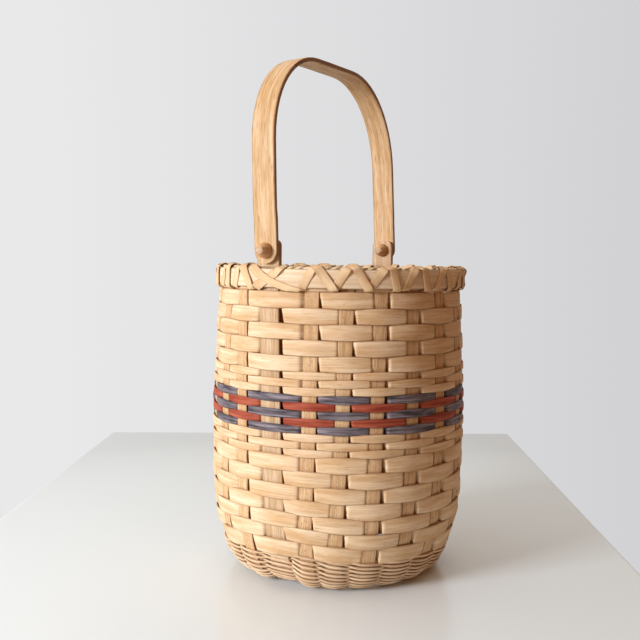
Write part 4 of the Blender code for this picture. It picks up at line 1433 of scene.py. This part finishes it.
@dataclass
class PeggedBail(Assembly):
    """The bentwood bail, the ears that carry it and the pegs that it swings on."""

    width: float = 22.0 * MM
    thickness: float = 3.9 * MM
    rise: float = 170.0 * MM
    shoulder: float = 75.0 * MM
    far_shoulder: float = 85.0 * MM
    far_tuck: float = 0.9 * MM
    lean: float = math.radians(2.4)
    ear_thickness: float = 4.5 * MM
    ear_above_pivot: float = 9.0 * MM
    ear_corner: float = 5.0 * MM
    ear_swell: float = 2.0 * MM
    run_gap: float = 0.4 * MM
    fit_gap: float = 0.3 * MM
    pin_diameter: float = 5.0 * MM
    cap_diameter: float = 13.0 * MM
    cap_tip: float = 7.4 * MM
    dowel_head: float = 5.9 * MM
    cap_height: float = 9.5 * MM
    hinge_drop: float = 0.35 * MM
    hinge_slope: float = 0.0157
    near_droop: float = 1.2 * MM
    far_stout: float = 0.03
    tuck_height: float = 60.0 * MM
    sway: float = 0.35 * MM
    sway_from: float = 30.0 * MM
    end_steps: int = 12
    leg_steps: int = 14
    top_steps: int = 6
    tail_end: float = 10 * MM
    tail_step: float = 5 * MM
    foot_step: float = 2.5 * MM
    neck_steps: int = 4
    crown_steps: int = 8
    crown_thinning: float = 0.3
    bore_gap: float = 0.12 * MM
    cap_sides: int = 40
    dowel_sides: int = 28

    def hung(self, x: float) -> Vector:
        """A point of the hinge line, which slopes a little because the two ears were set by hand."""
        return self.plan.pivot + Vector((x, 0, self.hinge_slope * x - self.hinge_drop))

    def bail_guide(self) -> Guide:
        """The way of the strap from one round end over the top to the other.

        Returns:
            The guide, leaned as it stands at rest.
        """
        plan = self.plan
        leg = plan.rim_radius + self.ear_thickness / 2 + self.run_gap + self.thickness / 2
        top = self.rise - self.thickness / 2
        half = self.width / 2

        def side(shoulder: float) -> list[tuple[float, float, float]]:
            """Distance out, height and width of one side, from its round end to just before the top's middle.

            Args:
                shoulder: The radius of its bend.

            Returns:
                The three sizes at each point.
            """
            points: list[tuple[float, float, float]] = []
            for step in range(1, self.end_steps + 1):
                angle = math.pi / 2 * (1 - step / self.end_steps)
                points.append((leg, -half * math.sin(angle), self.width * math.cos(angle)))
            rest = top - shoulder
            points += [(leg, rest * step / self.leg_steps, self.width) for step in range(1, self.leg_steps)]
            for step in range(self.leg_steps + 1):
                angle = math.pi / 2 * step / self.leg_steps
                x = leg - shoulder + shoulder * math.cos(angle)
                points.append((x, rest + shoulder * math.sin(angle), self.width))
            steps = range(1, self.top_steps)
            return points + [((leg - shoulder) * (1 - step / self.top_steps), top, self.width) for step in steps]

        near = [(-x, z, width) for x, z, width in side(self.shoulder)]
        line = side(self.far_shoulder) + [(0.0, top, self.width)] + near[::-1]
        guide = Guide(start=610)
        for index, (x, z, width) in enumerate(line):
            before, after = line[max(index - 1, 0)], line[min(index + 1, len(line) - 1)]
            way = Vector((after[0] - before[0], 0, after[1] - before[1])).normalized()
            out = Vector((way.z, 0, -way.x))
            sway = self.sway * drift(61, z * 14 + x * 9) if z > self.sway_from else 0
            droop = self.near_droop * ease(z / top) * ease(-x / leg)
            stout = width * (1 + self.far_stout * ease(0.5 + x / leg / 2))
            tuck = self.far_tuck * ease(z / self.tuck_height) * ease(x / leg)
            guide.add(self.hung(x) + Vector((-tuck, sway, z - droop)), out, stout, self.thickness)
        guide.turned(Matrix.Rotation(-self.lean, 3, "X"), plan.pivot)
        return guide

    def ear_guide(self, upright: Upright) -> Guide:
        """The way of an ear, from its tail's end in the foot to the rounded top of its head.

        Args:
            upright: The ear's upright.

        Returns:
            The guide.
        """
        plan = self.plan
        guide = Guide(start=640 + upright.number)
        rows: list[tuple[Vector, Vector, float, float]] = []
        down = plan.downs[-1] - self.tail_end
        while down > plan.wall_top - plan.stake_top:
            flat, out = plan.wall_at(down)
            rows.append((flat - out * plan.pull(0, down), out, plan.tail_width, plan.tail_thickness))
            down -= self.foot_step if down > plan.tops[-1] else self.tail_step
        rows.append((Vector((plan.rim_radius, plan.hoop_top)), Vector((1, 0)), plan.tail_width, plan.tail_thickness))
        for flat, out, width, thickness in rows:
            angle = plan.angle(upright, flat.y)
            guide.add(plan.place(angle, flat), plan.place(angle, out), width, thickness)
        side = -1 if upright.number == 0 else 1
        swell = plan.hoop_top + self.ear_swell
        top = self.hung(side * plan.rim_radius).z + self.ear_above_pivot
        head = []
        for step in range(1, self.neck_steps + 1):
            blend = ease(step / self.neck_steps)
            width = plan.tail_width + (self.width - plan.tail_width) * blend
            thickness = plan.tail_thickness + (self.ear_thickness - plan.tail_thickness) * blend
            head.append((plan.hoop_top + self.ear_swell * step / self.neck_steps, width, thickness))
        for step in range(1, self.neck_steps + 1):
            height = swell + (top - self.ear_corner - swell) * step / self.neck_steps
            head.append((height, self.width, self.ear_thickness))
        for step in range(1, self.crown_steps + 1):
            share = step / self.crown_steps
            angle = math.pi / 2 * step / self.crown_steps
            height = top - self.ear_corner * (1 - math.sin(angle))
            width = self.width - 2 * self.ear_corner * (1 - math.cos(angle))
            head.append((height, width, self.ear_thickness * (1 - self.crown_thinning * share**6)))
        out = Vector((side, 0, 0))
        for height, width, thickness in head:
            guide.add(Vector((side * plan.rim_radius, plan.pivot.y, height)), out, width, thickness)
        return guide

    def cap_profile(self) -> list[tuple[float, float]]:
        """Rings of a turned button, from its base to its tip.

        Returns:
            Distance along the axis and radius of each ring.
        """
        base, tip, height = self.cap_diameter / 2, self.cap_tip / 2, self.cap_height
        bore = self.dowel_head / 2 + self.bore_gap
        shares = ((0, 0.93), (0.04, 1), (0.2, 1), (0.3, 0.98), (0.45, 0.86), (0.62, 0.62), (0.8, 0.3), (0.93, 0.06))
        rings = [(height * up, tip + (base - tip) * out) for up, out in shares]
        return rings + [(height * 0.985, tip - 0.2 * MM), (height * 0.985, bore), (height * 0.93, bore - 0.1 * MM)]

    def build(self) -> None:
        """Builds the bail, both ears and both pegs."""
        plan = self.plan
        self.strip("bentwood_bail", self.bail_guide(), BOARD, ASH_BAIL, "handle", Slot.HARDWOOD, Body.BAIL)
        inner_base = plan.rim_radius - self.ear_thickness / 2 - self.fit_gap
        outer_base = plan.rim_radius + self.ear_thickness / 2 + 2 * self.run_gap + self.thickness
        radius, head = self.pin_diameter / 2, self.dowel_head / 2
        length = outer_base - inner_base + 2 * self.cap_height
        # The rings of a dowel's end: its chamfer, its full width and the step down to the pin
        end = [(0.0, head - 0.4 * MM), (0.25 * MM, head), (0.9 * MM, head), (1.0 * MM, radius)]
        dowel = end + [(length - along, size) for along, size in reversed(end)]
        cap = self.cap_profile()
        for word, side, number in (("left", -1, 0), ("right", 1, plan.stake_count // 2)):
            ear = self.ear_guide(plan.uprights[number])
            self.strip(f"ear_{word}_head_and_tail", ear, BOARD, EAR_ASH, f"ear_{word}", Slot.HARDWOOD)
            hinge = self.hung(side * plan.rim_radius)
            for piece, node, rings, x, way, sides, finish in (
                ("button_outer", "pivot_cap_outer", cap, outer_base, side, self.cap_sides, TURNED_PEG),
                ("button_inner", "pivot_cap_inner", cap, inner_base, -side, self.cap_sides, TURNED_PEG),
                ("dowel", "pivot_pin", dowel, inner_base - self.cap_height, side, self.dowel_sides, DOWEL_END),
            ):
                start = hinge + Vector((side * (x - plan.rim_radius), 0, 0))
                mesh = lathe(f"{piece}_{word}", rings, start, Vector((way, 0, 0)), sides)
                mesh.materials.append(self.finishes.get(finish))
                show(f"{piece}_{word}", mesh, Body.BASKET, f"{node}_{word}")


@dataclass
class Studio:
    """The table, the pale backdrop, the lamps and the camera, placed from where the camera stood."""

    stand: float = math.radians(208.15)
    distance: float = 844.7 * MM
    height: float = 285.9 * MM
    pitch: float = 3.98
    roll: float = 0.8
    focal_px: float = 900.0
    axis_px: float = 339.5
    frame_px: float = 640.0
    table_left: float = 372.0 * MM
    table_right: float = 278.0 * MM
    table_back: float = 616.0 * MM
    table_front: float = 520.0 * MM
    table_thickness: float = 30.0 * MM
    table_tilt: float = math.radians(0.8)
    table_drop: float = 0.7 * MM
    table_clear: float = 0.02 * MM
    table_bevel: float = 4 * MM
    table_crease: float = math.radians(30)
    lacquer_roughness: float = 0.24
    lacquer_ior: float = 1.6
    window_power: float = 107.0
    bounce_power: float = 5.0
    room_light: float = 0.62

    def spot(self, right: float, toward: float, up: float) -> Vector:
        """A point by its distance to the right, toward the camera and up, from the foot's middle.

        Args:
            right: How far to the camera's right.
            toward: How far toward the camera.
            up: How far above the table's tilted plane.

        Returns:
            The point.
        """
        forward = -Vector((math.cos(self.stand), math.sin(self.stand), 0))
        side = forward.cross(UP)
        return side * right - forward * toward + UP * (up + right * math.tan(self.table_tilt))

    def add_camera(self) -> None:
        """Places the camera where the fit to the rows put it."""
        data = bpy.data.cameras.new("Camera")
        data.sensor_width = 36.0
        data.lens = self.focal_px * data.sensor_width / self.frame_px
        camera = put("Camera", data)
        turn = math.atan((self.axis_px - self.frame_px / 2) / self.focal_px)
        forward = -Vector((math.cos(self.stand), math.sin(self.stand), 0))
        forward.rotate(Quaternion(UP, turn))
        forward.rotate(Quaternion(forward.cross(UP), -math.radians(self.pitch)))
        look = forward.to_track_quat("-Z", "Y")
        look = look @ Quaternion((0, 0, 1), math.radians(self.roll))
        camera.location = self.spot(0, self.distance, self.height)
        camera.rotation_mode = "QUATERNION"
        camera.rotation_quaternion = look
        bpy.context.scene.camera = camera

    def add_lamp(self, name: str, place: Vector, target: Vector, size: float, power: float, colour: str) -> None:
        """Adds a square soft light that looks at a point.

        Args:
            name: The lamp's name.
            place: Where it stands.
            target: Where it looks.
            size: Its side's length.
            power: Its power in watts.
            colour: Its colour as #rrggbb.
        """
        data = bpy.data.lights.new(name, "AREA")
        data.size = size
        data.energy = power
        data.color = linear(colour)[:3]
        lamp = put(name, data)
        lamp.location = place
        lamp.rotation_mode = "QUATERNION"
        lamp.rotation_quaternion = (target - place).to_track_quat("-Z", "Y")

    def add_table(self) -> None:
        """A white lacquered table top, with slightly rounded edges."""
        corners = [
            self.spot(x, y, -self.table_thickness / 2 - self.table_drop)
            for y, ends in (
                (-self.table_back, (-self.table_left, self.table_right)),
                (self.table_front, (self.table_right, -self.table_left)),
            )
            for x in ends
        ]
        shape = bmesh.new()
        verts = [
            shape.verts.new(corner + UP * lift)
            for lift in (-self.table_thickness / 2, self.table_thickness / 2 - self.table_clear)
            for corner in corners
        ]
        shape.faces.new(verts[3::-1])
        shape.faces.new(verts[4:])
        for index in range(4):
            after = (index + 1) % 4
            shape.faces.new((verts[index], verts[after], verts[4 + after], verts[4 + index]))
        bmesh.ops.recalc_face_normals(shape, faces=shape.faces)
        edges = list(shape.edges)
        bmesh.ops.bevel(shape, geom=edges, offset=self.table_bevel, segments=4, affect="EDGES", profile=0.5)
        mesh = bpy.data.meshes.new("table_top")
        shape.to_mesh(mesh)
        shape.free()
        mesh.shade_smooth()
        mesh.set_sharp_from_angle(angle=self.table_crease)
        # Sprayed lacquer on board: an even cold white that holds a soft reflection
        material = bpy.data.materials.new("White lacquer")
        material.use_nodes = True
        tree = material.node_tree
        shader = tree.nodes["Principled BSDF"]
        place = add_node(tree, "ShaderNodeTexCoord").outputs["Object"]
        cloud = add_node(tree, "ShaderNodeTexNoise", {"Vector": place, "Scale": 6.0, "Detail": 2.0})
        values = {"Factor": cloud.outputs[0], "A": linear("#f0fafe"), "B": linear("#f3fcff")}
        tint = add_node(tree, "ShaderNodeMix", values, data_type="RGBA")
        tree.links.new(find_socket(tint.outputs, "Result"), shader.inputs["Base Color"])
        shader.inputs["Roughness"].default_value = self.lacquer_roughness
        shader.inputs["IOR"].default_value = self.lacquer_ior
        mesh.materials.append(material)
        put("table_top", mesh)

    def add_world(self) -> None:
        """The room's light, dimmer and warmer from the right, and the wall behind, with painted shade that makes it a
        little darker to the right.
        """
        world = bpy.data.worlds.new("Pale room")
        bpy.context.scene.world = world
        world.use_nodes = True
        tree = world.node_tree
        tree.nodes.clear()
        way = add_node(tree, "ShaderNodeTexCoord").outputs["Generated"]
        rays = add_node(tree, "ShaderNodeLightPath").outputs
        seen = rays["Is Camera Ray"]
        for ray in ("Is Glossy Ray", "Is Transmission Ray"):
            seen = add_node(tree, "ShaderNodeMath", {0: seen, 1: rays[ray]}, operation="MAXIMUM").outputs[0]
        shaders = []
        # The room's light and the wall behind: which way each changes, over what range, its colours and strength. The
        # wall's darker right is painted shade.
        for spot, low, high, first, second, strength in (
            (self.spot(0.76, 0.57, -0.3), -0.42, 0.3, "#fdf5e8", "#9a6533", self.room_light),
            (self.spot(1, 0, 0), -0.3, 0.3, "#e9e9ea", "#d2d2d4", 1.0),
        ):
            dot = add_node(tree, "ShaderNodeVectorMath", {0: way, 1: spot}, operation="DOT_PRODUCT").outputs["Value"]
            share = add_node(tree, "ShaderNodeMapRange", {"Value": dot, "From Min": low, "From Max": high})
            values = {"Factor": share.outputs[0], "A": linear(first), "B": linear(second)}
            colour = find_socket(add_node(tree, "ShaderNodeMix", values, data_type="RGBA").outputs, "Result")
            light = add_node(tree, "ShaderNodeBackground", {"Color": colour, "Strength": strength})
            shaders.append(light.outputs[0])
        room, back = shaders
        both = add_node(tree, "ShaderNodeMixShader", {0: seen, 1: room, 2: back})
        add_node(tree, "ShaderNodeOutputWorld", {"Surface": both.outputs[0]})

    def build(self) -> None:
        """Sets the whole studio up."""
        self.add_camera()
        self.add_table()
        self.add_world()
        aim = Vector((0, 0, 0.2))
        self.add_lamp("Window light", self.spot(-2.52, 1.8, 1.05), aim, 1.0, self.window_power, "#f5f7ff")
        self.add_lamp("Ceiling bounce", self.spot(0.2, 0.1, 1.9), aim, 1.8, self.bounce_power, "#fff0e0")
        bpy.context.scene.view_settings.view_transform = "Standard"


def main() -> None:
    """Builds the basket's sub-assemblies and the studio in order."""
    logging.basicConfig(level=logging.INFO, format="%(name)s %(message)s")
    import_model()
    plan = BasketPlan()
    tree = StripTree()
    finishes = Finishes()
    Studio().build()
    for assembly in (StakeFrame, WovenWall, TwinedFoot, LashedRim, PeggedBail):
        assembly(plan, tree, finishes).build()
        LOG.info("%s is built", assembly.__name__)


if __name__ == "__main__":
    main()
